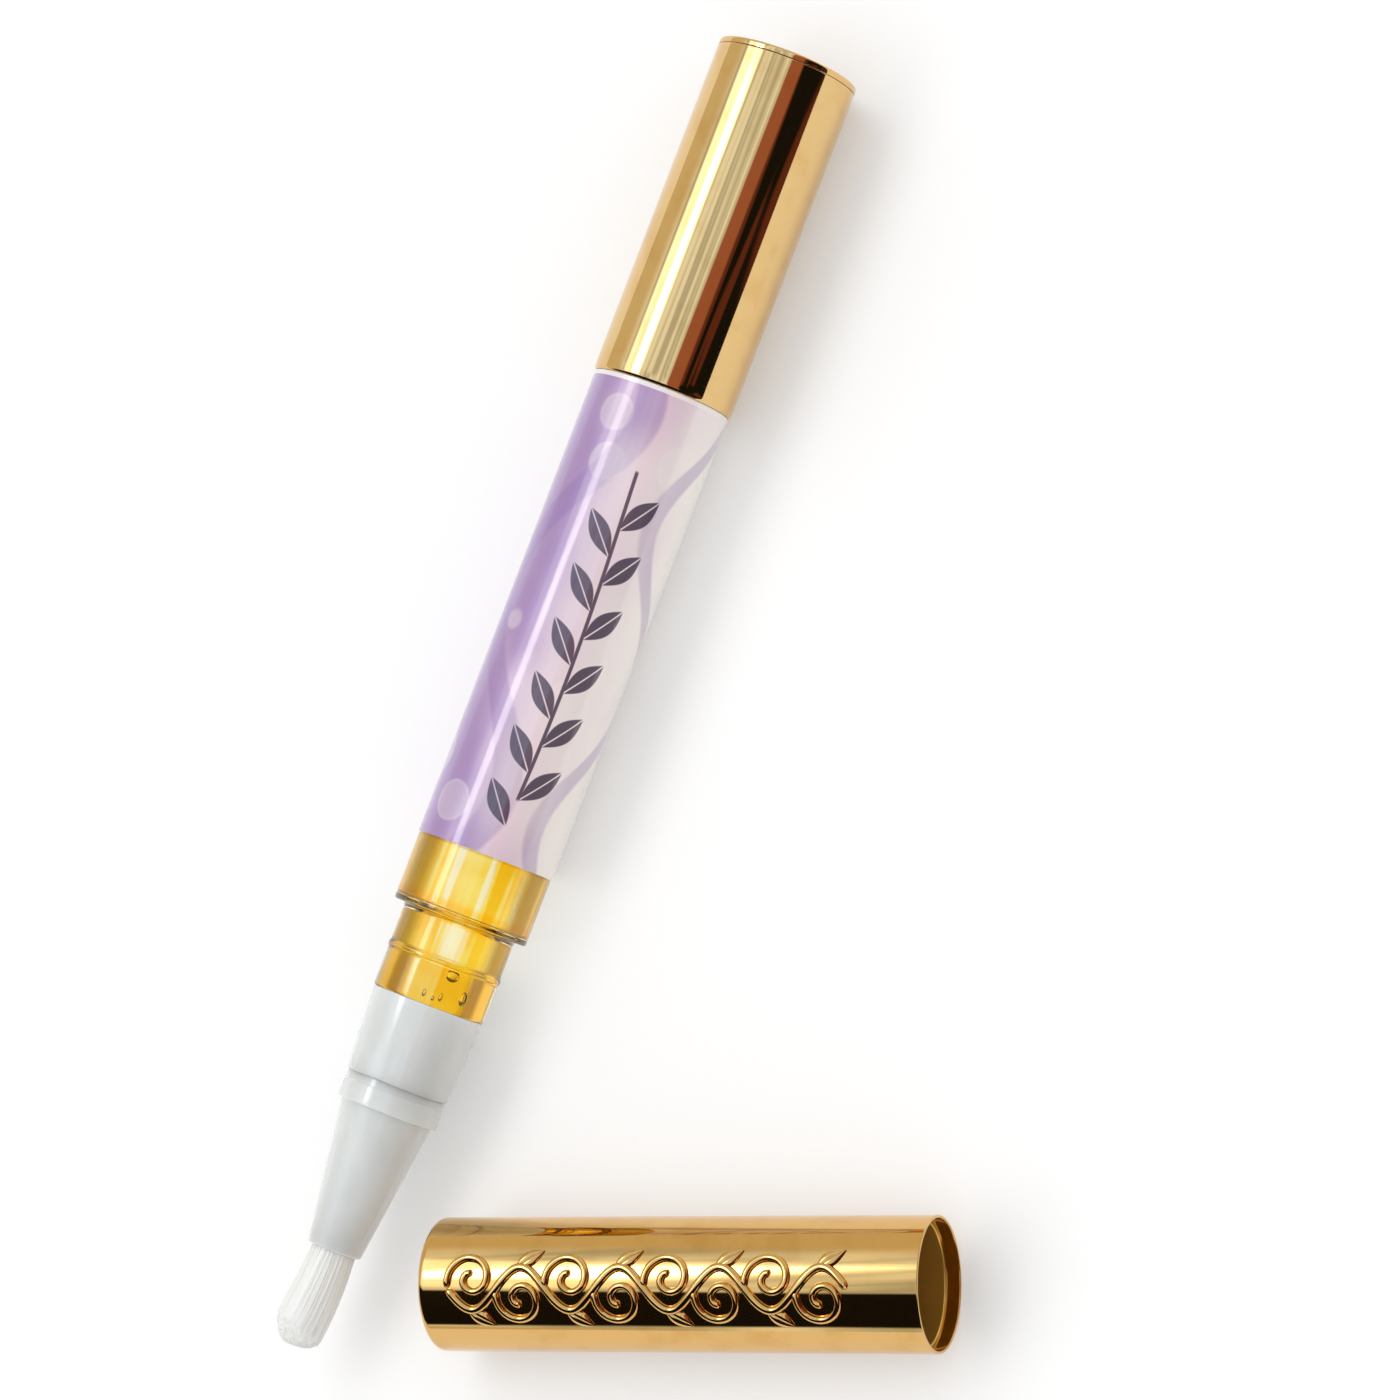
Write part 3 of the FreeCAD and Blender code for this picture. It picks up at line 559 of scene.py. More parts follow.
# soft pale rings, with their radius and half width in cells
RING_RADIUS = 0.33
RING_HALF_WIDTH = 0.03
DISC_SHARE = 0.22
RING_SHARE = 0.15
# pitch, start, swing, middle, half width and strength of each ribbon
RIBBONS = ((34.0, 0.1, 4.0, -4.5, 1.6, 0.5), (27.0, 0.62, 3.2, 6.5, 1.1, 0.45))
RIBBON_BLUR = 0.5
# the sprig's stem, with the half widths where its ink starts and is full
SPRIG_PITCH = 4.8
SPRIG_PLACE = 0.6
SPRIG_START = 5.0
SPRIG_END = 34.5
SPRIG_WAVE = 0.5
SPRIG_SWING = 0.5
SPRIG_FADE = 0.3
SPRIG_INK = (0.2, 0.12)
# its leaves, with the widths where the bare vein ends and the ink is full
FIRST_LEAF = 1
LAST_LEAF = 6
LEAF_LEAN = math.radians(38)
LEAF_LENGTH = 4.6
LEAF_HALF_WIDTH = 0.95
LEAF_DELAY = 0.3
LEAF_END_SHARE = 0.03
LEAF_BLUR = 0.1
LEAF_VEIN = (0.02, 0.09)
INK_SHARE = 0.9
# the pale glow round the sprig
GLOW_EDGE = 5.0
GLOW_INSIDE = 1.5
GLOW_SHARE = 0.35
# the painted highlight at the base: a pale band that stands for the glossy clear edge there
PAINTED_HIGHLIGHT_EDGE = 0.5
PAINTED_HIGHLIGHT_INSIDE = 0.4
PAINTED_HIGHLIGHT_SHARE = 0.8


def make_label():
    """A glossy printed film: lavender to cream round the barrel, soft rings, ribbons and a leaf sprig."""
    net = new_material("printed_film")
    x, y, z = net.place()
    turn = x.math("ARCTAN2", z)
    across = (turn - FACING) * LABEL_RADIUS
    along = y - LABEL_FRONT
    cloud = net.grain(across=0.16, along=0.08)
    fade = (turn - LAVENDER_TURN).math("COSINE") * -0.5 + 0.5
    shade = fade + (cloud - 0.5) * CLOUD_SHARE
    colour = net.blend(shade.rise(*LILAC_RANGE), LAVENDER, LILAC)
    colour = net.blend(shade.rise(*CREAM_RANGE), colour, CREAM)

    # soft pale rings
    cells = net.node("TexVoronoi", feature="F1")
    net.fill(cells, Vector=net.join("CombineXYZ", across, along, 0.0), Scale=0.16, Randomness=0.85)
    distance = net.signal(cells, "Distance")
    disc = distance.rise(RING_RADIUS + RING_HALF_WIDTH, RING_RADIUS - RING_HALF_WIDTH) * DISC_SHARE
    ring = (distance - RING_RADIUS).size().rise(RING_HALF_WIDTH, 0.0) * RING_SHARE
    colour = net.blend(disc + ring, colour, CREAM)

    # two ribbons that wind along the film
    for pitch, start, swing, middle, half_width, strength in RIBBONS:
        centre = ((along / pitch + start) * math.tau).wave() * swing + middle
        inside = (across - centre).size().rise(half_width, half_width - RIBBON_BLUR)
        colour = net.blend(inside * strength, colour, VIOLET)

    # one sprig in a pale glow: a stem with leaves on both sides
    stem = (along / SPRIG_PITCH * SPRIG_WAVE).wave() * SPRIG_SWING + SPRIG_PLACE
    side_way = across - stem
    glow = side_way.size().rise(GLOW_EDGE, GLOW_INSIDE)
    glow = glow * along.rise(SPRIG_START - GLOW_EDGE, SPRIG_START)
    glow = glow * along.rise(SPRIG_END + GLOW_EDGE, SPRIG_END)
    colour = net.blend(glow * GLOW_SHARE, colour, CREAM)
    present = along.rise(SPRIG_START, SPRIG_START + SPRIG_FADE)
    present = present * along.rise(SPRIG_END, SPRIG_END - SPRIG_FADE)
    mask = side_way.size().rise(*SPRIG_INK) * present
    for side, shift in ((1.0, 0.0), (-1.0, 0.5)):
        placed = along / SPRIG_PITCH + shift
        within = placed.math("FRACT") * SPRIG_PITCH - LEAF_DELAY
        out = side_way * side
        length = (within * math.cos(LEAF_LEAN) + out * math.sin(LEAF_LEAN)) / LEAF_LENGTH
        width = (out * math.cos(LEAF_LEAN) - within * math.sin(LEAF_LEAN)).size()
        inside = length.rise(0.0, LEAF_END_SHARE) * length.rise(1.0, 1.0 - LEAF_END_SHARE)
        edge = (length * math.pi).wave() * LEAF_HALF_WIDTH - width
        leaf = edge.rise(0.0, LEAF_BLUR) * inside * width.rise(*LEAF_VEIN)
        number = placed.math("FLOOR")
        whole = number.rise(FIRST_LEAF - 1, FIRST_LEAF) * number.rise(LAST_LEAF + 1, LAST_LEAF)
        mask = mask.math("MAXIMUM", leaf * whole)
    colour = net.blend(mask * INK_SHARE, colour, PLUM)

    # the painted highlight at the base: a pale band that stands for the glossy clear edge there
    pale = y.rise(BASE_FRONT - PAINTED_HIGHLIGHT_EDGE, BASE_FRONT - PAINTED_HIGHLIGHT_INSIDE)
    colour = net.blend(pale * PAINTED_HIGHLIGHT_SHARE, colour, CREAM)

    peel = net.grain(across=0.9)
    return net.principled(
        Base_Color=colour,
        Roughness=peel.between(0.25, 0.35),
        IOR=1.5,
        Coat_Weight=1.0,
        Coat_Roughness=0.04,
        Normal=net.bump(peel, depth=0.01),
    )


def make_glowing_film_back():
    """The film's white back, with a painted glow: it emits a little light that stands for daylight through the
    film and lights the oil.
    """
    net = new_material("film_back")
    fibres = net.grain(across=0.7)
    return net.principled(
        Base_Color=net.blend(fibres, tint(226, 222, 226), tint(240, 236, 238)),
        Roughness=fibres.between(0.5, 0.6),
        # painted glow: the back emits light, though it is no lamp
        Emission_Color=(1.0, 0.96, 0.98, 1.0),
        Emission_Strength=0.35,
    )


GOLD = make_gold("polished_gold", tint(226, 190, 130), tint(220, 180, 118), wave_depth=0.02)
CAP_GOLD = make_gold("polished_cap_gold", tint(222, 178, 110), tint(214, 168, 98), wave_depth=0.04)
CLEAR = make_clear()
WETTED = make_wetted()
OIL = make_oil()
AIR = make_air()
FROSTED = make_frosted()
WETTED_PLUG = make_wetted_plug()
BRISTLE = make_bristle()
LABEL = make_label()
GLOWING_FILM_BACK = make_glowing_film_back()
STEEL = make_steel()
LINER = make_lining()
WHITE_WORKS = make_moulding("white_works", tint(222, 222, 216), tint(238, 238, 233), 0.3)
PISTON_PLASTIC = make_moulding("piston_moulding", tint(226, 228, 226), tint(240, 241, 240), 0.35)
SEAL = make_moulding("seal_rubber", tint(66, 68, 70), tint(88, 90, 92), 0.5)
TUBE_PLASTIC = make_moulding("tube_moulding", tint(214, 216, 212), tint(232, 233, 230), 0.3)

# The barrel: a clear tube with a stepped neck, a bead on it, a shoulder ring and the base's journal.
WALL_SKIN = 0.01
NECK_RADIUS = COLLAR_RADIUS
NECK_BORE = 4.0
NECK_LIP_ROUND = 0.25
NECK_BEAD = -3.6
NECK_BEAD_FOOT = 0.35
NECK_BEAD_TOP = 0.15
NECK_BEAD_HEIGHT = 0.12
NECK_ROOT_ROUND = 0.35
SHOULDER_ROUND = 0.45
SHOULDER_RING = 0.6
GROOVE_DEPTH = 0.05
GROOVE_WIDTH = 0.17
GROOVE_ROUND = 0.04
BORE = 4.6
BORE_FRONT = 0.45
BORE_TAPER = 0.6
STEP = 47.6
JOURNAL_RADIUS = 5.3


def outside_or_wetted(radius, station):
    wetted = radius < BORE + WALL_SKIN if station > BORE_FRONT else radius < NECK_BORE + WALL_SKIN
    return 1 if wetted else 0


barrel = lathe(
    "clear_barrel",
    [
        (NECK_BORE, NECK_FRONT, FINE),
        (NECK_RADIUS, NECK_FRONT, NECK_LIP_ROUND),
        (NECK_RADIUS, NECK_BEAD - NECK_BEAD_FOOT, FINE),
        (NECK_RADIUS + NECK_BEAD_HEIGHT, NECK_BEAD - NECK_BEAD_TOP, FINE),
        (NECK_RADIUS + NECK_BEAD_HEIGHT, NECK_BEAD + NECK_BEAD_TOP, FINE),
        (NECK_RADIUS, NECK_BEAD + NECK_BEAD_FOOT, FINE),
        (NECK_RADIUS, 0.0, NECK_ROOT_ROUND),
        (BARREL_RADIUS, 0.0, SHOULDER_ROUND),
        (BARREL_RADIUS, SHOULDER_RING, CRISP),
        (BARREL_RADIUS - GROOVE_DEPTH, SHOULDER_RING + GROOVE_DEPTH, GROOVE_ROUND),
        (BARREL_RADIUS - GROOVE_DEPTH, SHOULDER_RING + GROOVE_WIDTH - GROOVE_DEPTH, GROOVE_ROUND),
        (BARREL_RADIUS, SHOULDER_RING + GROOVE_WIDTH, CRISP),
        (BARREL_RADIUS, STEP, EASY),
        (JOURNAL_RADIUS, STEP, FINE),
        (JOURNAL_RADIUS, JOURNAL_REAR, EASY),
        (BORE, JOURNAL_REAR, FINE),
        (BORE, BORE_FRONT, FULL),
        (NECK_BORE, BORE_FRONT - BORE_TAPER, FULL),
    ],
    [CLEAR, WETTED],
    outside_or_wetted,
)
settle(barrel, "pen", ["barrel"])

# The oil, from the plug of the brush holder to the piston's face.
HOLDER_BORE = 2.3
PLUG_BORE = 3.2
OIL_GAP = 0.02
oil = lathe(
    "amber_oil",
    [
        (0.0, OIL_FRONT, SHARP),
        (PLUG_BORE - OIL_GAP, OIL_FRONT, FINE),
        (PLUG_BORE - OIL_GAP, PLUG_REAR + OIL_GAP, SHARP),
        (NECK_BORE - OIL_GAP, PLUG_REAR + OIL_GAP, FINE),
        (NECK_BORE - OIL_GAP, BORE_FRONT - BORE_TAPER, FULL),
        (BORE - OIL_GAP, BORE_FRONT, FULL),
        (BORE - OIL_GAP, OIL_REAR, FINE),
        (0.0, OIL_REAR, SHARP),
    ],
    [OIL],
)
settle(oil, "pen", ["oil_fill"])
PISTON_STROKE = next(
    joint["range_m"][1] for joint in frame["joints"] if joint["name"] == "piston_advance"
)
oil_length = (OIL_REAR - OIL_FRONT) * MM
1 - PISTON_STROKE / oil_length
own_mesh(oil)

# Air bubbles under the neck's wall: a round one and a few small long ones near the plug.
BUBBLE_ROWS = 4
# How flat a bubble is towards the wall and away from it, and how much longer it is by the wall.
BUBBLE_WALL_SHARE = 0.8
BUBBLE_INNER_SHARE = 0.95
BUBBLE_SKEW = 0.12
# station, depth from the axis, turn in degrees, radius and stretch along the pen of each
BUBBLES = (
    (-4.4, 2.6, 46.0, 0.52, 1.0),
    (-6.5, 3.55, 16.0, 0.15, 2.2),
    (-6.7, 3.55, 28.0, 0.13, 1.6),
    (-6.4, 3.55, 37.0, 0.15, 2.4),
    (-5.9, 3.5, 66.0, 0.3, 2.0),
)
bubble_mesh = bmesh.new()
for station, depth, turn, radius, stretch in BUBBLES:
    made = bmesh.ops.create_icosphere(bubble_mesh, subdivisions=BUBBLE_ROWS, radius=radius * MM)
    place = (
        Matrix.Translation((0, station * MM, 0))
        @ Matrix.Rotation(math.radians(turn), 4, "Y")
        @ Matrix.Translation((0, 0, depth * MM))
    )
    for vertex in made["verts"]:
        outward = vertex.co.z / (radius * MM)
        vertex.co.z *= BUBBLE_WALL_SHARE if outward > 0 else BUBBLE_INNER_SHARE
        vertex.co.y *= stretch + BUBBLE_SKEW * outward
        vertex.co = place @ vertex.co
bubble_data = bpy.data.meshes.new("air_bubbles")
bubble_mesh.to_mesh(bubble_data)
bubble_mesh.free()
bubble_data.shade_smooth()
bubble_data.materials.append(AIR)
bubbles = bpy.data.objects.new("air_bubbles", bubble_data)
scene.collection.objects.link(bubbles)
settle(bubbles, "pen")

# The label, wrapped once round the barrel, with its seam underneath.
SEAM_GAP = 0.25
FILM_GAP = 0.01
FILM_BASE_GAP = 0.04
FILM_ROUND = 0.03
FILM_INSIDE = BARREL_RADIUS + FILM_GAP
FILM_REAR = BASE_FRONT - FILM_BASE_GAP
film_vertices = []
film_faces = []
film_sides = []
half_seam = SEAM_GAP / LABEL_RADIUS / 2
film_outline = soften(
    [
        (FILM_INSIDE, LABEL_FRONT, SHARP),
        (LABEL_RADIUS, LABEL_FRONT, FILM_ROUND),
        (LABEL_RADIUS, FILM_REAR, FILM_ROUND),
        (FILM_INSIDE, FILM_REAR, SHARP),
    ]
)
film_count = len(film_outline)
for step in range(ROUND_STEPS + 1):
    turn = math.pi + half_seam + (math.tau - 2 * half_seam) * step / ROUND_STEPS
    for radius, station in film_outline:
        film_vertices.append(
            (radius * MM * math.sin(turn), station * MM, radius * MM * math.cos(turn))
        )
for step in range(ROUND_STEPS):
    for index in range(film_count):
        following = (index + 1) % film_count
        near = step * film_count
        far = near + film_count
        film_faces.append([near + index, near + following, far + following, far + index])
        film_sides.append(1 if following == 0 else 0)
film_faces.append(list(range(film_count)))
film_faces.append(list(range(ROUND_STEPS * film_count, (ROUND_STEPS + 1) * film_count)))
film_sides += [0, 0]
label = new_piece("printed_label", film_vertices, film_faces, [LABEL, GLOWING_FILM_BACK], film_sides)
settle(label, "pen", ["label"])

# The collar, with a plug that the neck holds and the oil wets.
COLLAR_TAPER = 0.45
COLLAR_FRONT_ROUND = 0.14
COLLAR_REAR_ROUND = 0.12
PLUG_RADIUS = 3.97
PLUG_SEAT = 0.02


def dry_or_wetted(radius, station):
    return 1 if station > NECK_FRONT + PLUG_SEAT else 0


collar = lathe(
    "front_collar",
    [
        (PLUG_BORE, COLLAR_FRONT, FINE),
        (COLLAR_RADIUS - COLLAR_TAPER, COLLAR_FRONT, COLLAR_FRONT_ROUND),
        (COLLAR_RADIUS, NECK_FRONT, COLLAR_REAR_ROUND),
        (PLUG_RADIUS, NECK_FRONT, SHARP),
        (PLUG_RADIUS, PLUG_REAR, SOFT),
        (PLUG_BORE, PLUG_REAR, EASY),
        (PLUG_BORE, NECK_FRONT, SHARP),
    ],
    [FROSTED, WETTED_PLUG],
    dry_or_wetted,
)
settle(collar, "pen", ["front_collar"])

# The brush holder: a plug, a step, a stop bead and the cone that holds the brush.
HOLDER_PLUG = 3.17
SOCKET = 1.93
MOUTH_RADIUS = 2.34
CONE_REAR = -17.1
CONE_RADIUS = 4.0
STEP_RADIUS = 4.3
WEB_FRONT = -22.0
WEB_REAR = -20.5
FEED_HOLE = 0.83
BEAD_REAR = -15.4
MOUTH_ROUND = 0.12
CONE_ROUND = 0.08
BEAD_ROOT_ROUND = 0.06
PLUG_END_ROUND = 0.25
holder = lathe(
    "brush_holder",
    [
        (SOCKET, MOUTH, CRISP),
        (MOUTH_RADIUS, MOUTH, MOUTH_ROUND),
        (CONE_RADIUS, CONE_REAR, CONE_ROUND),
        (HOLDER_BEAD_RADIUS, CONE_REAR, EASY),
        (HOLDER_BEAD_RADIUS, BEAD_REAR, EASY),
        (STEP_RADIUS, BEAD_REAR, BEAD_ROOT_ROUND),
        (STEP_RADIUS, COLLAR_FRONT, CRISP),
        (HOLDER_PLUG, COLLAR_FRONT, SHARP),
        (HOLDER_PLUG, HOLDER_REAR, PLUG_END_ROUND),
        (HOLDER_BORE, HOLDER_REAR, EASY),
        (HOLDER_BORE, WEB_REAR, SOFT),
        (FEED_HOLE, WEB_REAR, CRISP),
        (FEED_HOLE, WEB_FRONT, CRISP),
        (SOCKET, WEB_FRONT, FINE),
    ],
    [FROSTED],
)
settle(holder, "pen", ["brush_holder"])

# The brush: nylon filaments in a round tuft that spreads past the mouth, cut to a lopsided dome.
FILAMENTS = 640
FILAMENT_RADIUS = 0.068
FILAMENT_SIDES = 5
FILAMENT_RINGS = 12
ROOT_DEPTH = 3.5
SOCKET_GAP = 0.08
TUFT_START = MOUTH + ROOT_DEPTH
TUFT_INSIDE = SOCKET - SOCKET_GAP
TUFT_OUTSIDE = 2.18
TUFT_LEAN = 0.45
TIP_GAP = 0.06
DOME_DEPTH = 2.4
DOME_POWER = 3.5
DOME_SHARES = (0.7, 0.3)
DOME_LEAN = math.radians(-64)
LEAN_WAY = Vector((math.sin(DOME_LEAN), 0, math.cos(DOME_LEAN)))
GOLDEN_TURN = math.pi * (3 - math.sqrt(5))
# How far single filaments stray in turn, in their tip's place and in length, and how they bow.
TURN_STRAY = 0.1
TIP_STRAY = 0.06
TIP_DRAW_SHARE = 0.97
TIP_TURN_STRAY = 0.05
TRIM_STRAY = 0.09
BOW_STRAY = 0.05
# The share of its thickness that a filament loses towards its tip, and where along it that starts.
POINT_SHARE = 0.45
POINT_START_SHARE = 0.8


def dome_drop(share, turn):
    """How far behind the tuft's tip a filament ends, from its share of the radius and its turn."""
    even, lopsided = DOME_SHARES
    return DOME_DEPTH * share ** DOME_POWER * (even + lopsided * math.cos(turn - DOME_LEAN))


def past_mouth(station, tip):
    """The share of the way from the holder's mouth to a filament's tip."""
    return max(0.0, (MOUTH - station) / (MOUTH - tip))


def spread(root_radius, tip_radius, past):
    """A filament's distance from the axis: it spreads soon after the mouth and then runs on straight."""
    return root_radius + (tip_radius - root_radius) * (1 - (1 - past) ** 2)


tuft_vertices = []
tuft_faces = []
for number in range(FILAMENTS):
    share = math.sqrt((number + 0.5) / FILAMENTS)
    turn = number * GOLDEN_TURN + random.uniform(-TURN_STRAY, TURN_STRAY)
    tip_radius = TUFT_OUTSIDE * share + random.gauss(0, TIP_STRAY)
    tip_radius = tip_radius * random.uniform(TIP_DRAW_SHARE, 1.0)
    tip_radius = min(abs(tip_radius), TUFT_OUTSIDE)
    tip_turn = turn + random.gauss(0, TIP_TURN_STRAY)
    tip = TUFT_TIP + TIP_GAP + dome_drop(share, tip_turn) + abs(random.gauss(0, TRIM_STRAY))
    bow = random.gauss(0, BOW_STRAY)
    first = len(tuft_vertices)
    for ring in range(FILAMENT_RINGS):
        go = ring / (FILAMENT_RINGS - 1)
        station = TUFT_START + (tip - TUFT_START) * go
        past = past_mouth(station, tip)
        radius = spread(TUFT_INSIDE * share, tip_radius, past)
        radius += bow * math.sin(math.pi * past) * (1 - share)
        angle = turn + (tip_turn - turn) * past
        pointed = max(0.0, go - POINT_START_SHARE) / (1 - POINT_START_SHARE)
        thick = FILAMENT_RADIUS * (1 - POINT_SHARE * pointed)
        centre = Vector((radius * math.sin(angle), station, radius * math.cos(angle)))
        centre += LEAN_WAY * TUFT_LEAN * past * past
        for side in range(FILAMENT_SIDES):
            spin = math.tau * side / FILAMENT_SIDES
            rim = Vector((math.sin(spin), 0, math.cos(spin))) * thick
            tuft_vertices.append((centre + rim) * MM)
    for ring in range(FILAMENT_RINGS - 1):
        for side in range(FILAMENT_SIDES):
            near = first + ring * FILAMENT_SIDES
            far = near + FILAMENT_SIDES
            turned = (side + 1) % FILAMENT_SIDES
            tuft_faces.append([near + side, near + turned, far + turned, far + side])
    tuft_faces.append([first + side for side in range(FILAMENT_SIDES)])
    last = first + (FILAMENT_RINGS - 1) * FILAMENT_SIDES
    tuft_faces.append([last + side for side in range(FILAMENT_SIDES)])

# A core of packed filaments fills the tuft, so that no gap in it is deep.
CORE_STEPS = 180
CORE_RINGS = 14
CORE_SHARE = 0.985
CORE_DROP = 0.2
CORE_GROOVE = 0.03
core_rings = []
for ring in range(2 * CORE_RINGS):
    on_side = ring < CORE_RINGS
    go = ring / (CORE_RINGS - 1) if on_side else 1.0
    share = CORE_SHARE if on_side else CORE_SHARE * (2 * CORE_RINGS - ring) / (CORE_RINGS + 1)
    core_rings.append(len(tuft_vertices))
    for step in range(CORE_STEPS):
        turn = math.tau * step / CORE_STEPS
        groove = CORE_GROOVE * (random.random() - 0.5) if on_side and ring else 0.0
        tip = TUFT_TIP + TIP_GAP + CORE_DROP + dome_drop(share, turn)
        station = TUFT_START + (tip - TUFT_START) * go
        past = past_mouth(station, tip)
        radius = spread(TUFT_INSIDE * share, TUFT_OUTSIDE * share, past) + groove
        centre = Vector((radius * math.sin(turn), station, radius * math.cos(turn)))
        centre += LEAN_WAY * TUFT_LEAN * past * past
        tuft_vertices.append(centre * MM)
for near, far in zip(core_rings, core_rings[1:]):
    for step in range(CORE_STEPS):
        turned = (step + 1) % CORE_STEPS
        tuft_faces.append([near + step, near + turned, far + turned, far + step])
tuft_faces.append([core_rings[0] + step for step in range(CORE_STEPS)])
tuft_faces.append([core_rings[-1] + step for step in range(CORE_STEPS)])
tuft = new_piece("brush_filaments", tuft_vertices, tuft_faces, [BRISTLE])
settle(tuft, "pen", ["brush_tuft"])

# The twist base: a rolled shell and an end plug with a thin rim.
BASE_WALL = 0.3
ROLL_DEPTH = 0.15
ROLL_LENGTH = 0.75
ROLL_SHARE = 0.28
ROLL_EDGE_ROUND = 0.06
ROLL_END_ROUND = 0.4
SHELL_INNER_ROUND = 0.08
shell = lathe(
    "base_shell",
    [
        (BASE_RADIUS - BASE_WALL, BASE_FRONT, ROLL_EDGE_ROUND),
        (BASE_RADIUS - ROLL_DEPTH, BASE_FRONT, ROLL_EDGE_ROUND),
        (BASE_RADIUS - ROLL_DEPTH * ROLL_SHARE, BASE_FRONT + ROLL_LENGTH * ROLL_SHARE, SOFT),
        (BASE_RADIUS, BASE_FRONT + ROLL_LENGTH, ROLL_END_ROUND),
        (BASE_RADIUS, SHELL_REAR, FINE),
        (BASE_RADIUS - BASE_WALL, SHELL_REAR, SHELL_INNER_ROUND),
    ],
    [GOLD],
)
settle(shell, "twist_base", ["base_shell"])
END_PLUG_WALL = 0.8
END_FLOOR = 0.25
END_GAP = 0.02
END_ROUND = 0.4
SKIRT_GAP = 0.03
END_SKIRT = BASE_RADIUS - BASE_WALL - SKIRT_GAP
end_plug = lathe(
    "base_end_plug",
    [
        (0.0, SHELL_REAR - END_FLOOR, SHARP),
        (END_SKIRT - END_PLUG_WALL, SHELL_REAR - END_FLOOR, SOFT),
        (END_SKIRT - END_PLUG_WALL, END_PLUG_FRONT, FINE),
        (END_SKIRT, END_PLUG_FRONT, EASY),
        (END_SKIRT, SHELL_REAR + END_GAP, SHARP),
        (END_RADIUS, SHELL_REAR + END_GAP, CRISP),
        (END_RADIUS, BASE_END, END_ROUND),
        (0.0, BASE_END, SHARP),
    ],
    [GOLD],
)
settle(end_plug, "twist_base", ["base_end_plug"])

# The cap, built along its own axis from its closed end and then laid down as the CAD model has it.
CAP_LENGTH = 43.5
CAP_RADIUS = 5.55
CAP_WALL = 0.26
CAP_END_WALL = 0.4
CAP_END_ROUND = 0.6
CAP_LIP_ROUND = 0.12
LINER_MOUTH = 42.3
LINER_RADIUS = 5.26
LINER_BORE = 4.96
LINER_FLOOR = 1.23
LINER_GAP = 0.03
mouth_mount = next(m for m in frame["record"]["mounts"] if m["name"] == "cap_mouth")
cap_axis = Vector(mouth_mount["axis"]).normalized()
cap_start = Vector(mouth_mount["pos_m"]) - cap_axis * LINER_MOUTH * MM
upward = Vector((0, 0, 1))
cap_side = cap_axis.cross(upward)
CAP_PLACE = Matrix.Translation(cap_start) @ Matrix((cap_side, cap_axis, upward)).transposed().to_4x4()
cap = lathe(
    "cap_shell",
    [
        (0.0, 0.0, SHARP),
        (CAP_RADIUS, 0.0, CAP_END_ROUND),
        (CAP_RADIUS, CAP_LENGTH, CAP_LIP_ROUND),
        (CAP_RADIUS - CAP_WALL, CAP_LENGTH, CAP_LIP_ROUND),
        (CAP_RADIUS - CAP_WALL, CAP_END_WALL, SOFT),
        (0.0, CAP_END_WALL, SHARP),
    ],
    [CAP_GOLD],
)
settle(cap, "cap", ["cap_shell"], CAP_PLACE)
liner = lathe(
    "cap_liner",
    [
        (0.0, CAP_END_WALL + LINER_GAP, SHARP),
        (LINER_RADIUS, CAP_END_WALL + LINER_GAP, SOFT),
        (LINER_RADIUS, LINER_MOUTH, CRISP),
        (LINER_BORE, LINER_MOUTH, CAP_LIP_ROUND),
        (LINER_BORE, LINER_FLOOR, FULL),
        (0.0, LINER_FLOOR, SHARP),
    ],
    [LINER],
)
settle(liner, "cap", ["cap_liner"], CAP_PLACE)

# A raised scroll along the cap: a winding stem, a curl in each of its hollows and a leaf on each crest.
SCROLL_FACING = math.radians(9)
SCROLL_START = 2.8
HALF_WAVE = 4.35
HALF_WAVES = 8
WAVE_HEIGHT = 1.75
CURL_DROP = 0.8
CURL_TURNS = 1.3
CURL_END = 0.42
STEM_HALF = 0.38
CURL_HALF = 0.34
SCROLL_HEIGHT = 0.4
SCROLL_SINK = 0.1
HEADING_SHARE = 0.004
STROKE_TIP_SHARE = 0.06
STROKE_COLUMNS = 10
STEM_LENGTH = 44.0
STEM_ROWS = 260
CURL_LENGTH = 10.5
CURL_ROWS = 90
CURL_POWER = 0.8
LEAF_REACH = 2.3
LEAF_HALF = 0.68
LEAF_OUT_SHARE = 0.62
LEAF_ALONG_SHARE = 0.75
LEAF_SETBACK = 0.3
LEAF_BEND = 0.5
LEAF_ROWS = 24
LEAF_COLUMNS = 12
LEAF_TIP_SHARE = 0.05
LEAF_SWELL_POWER = 0.8
LEAF_HEIGHT_SHARE = 0.9
LEAF_CROWN_POWER = 0.55
LEAF_FALL_POWER = 0.6
VEIN_DEPTH_SHARE = 0.3
VEIN_HALF_SHARE = 0.2


def on_cap(arc, along, height):
    """A point by the cap's surface in its own frame, from lengths round it, along it and above it."""
    turn = SCROLL_FACING + arc / CAP_RADIUS
    radius = (CAP_RADIUS + height) * MM
    return (radius * math.sin(turn), along * MM, radius * math.cos(turn))


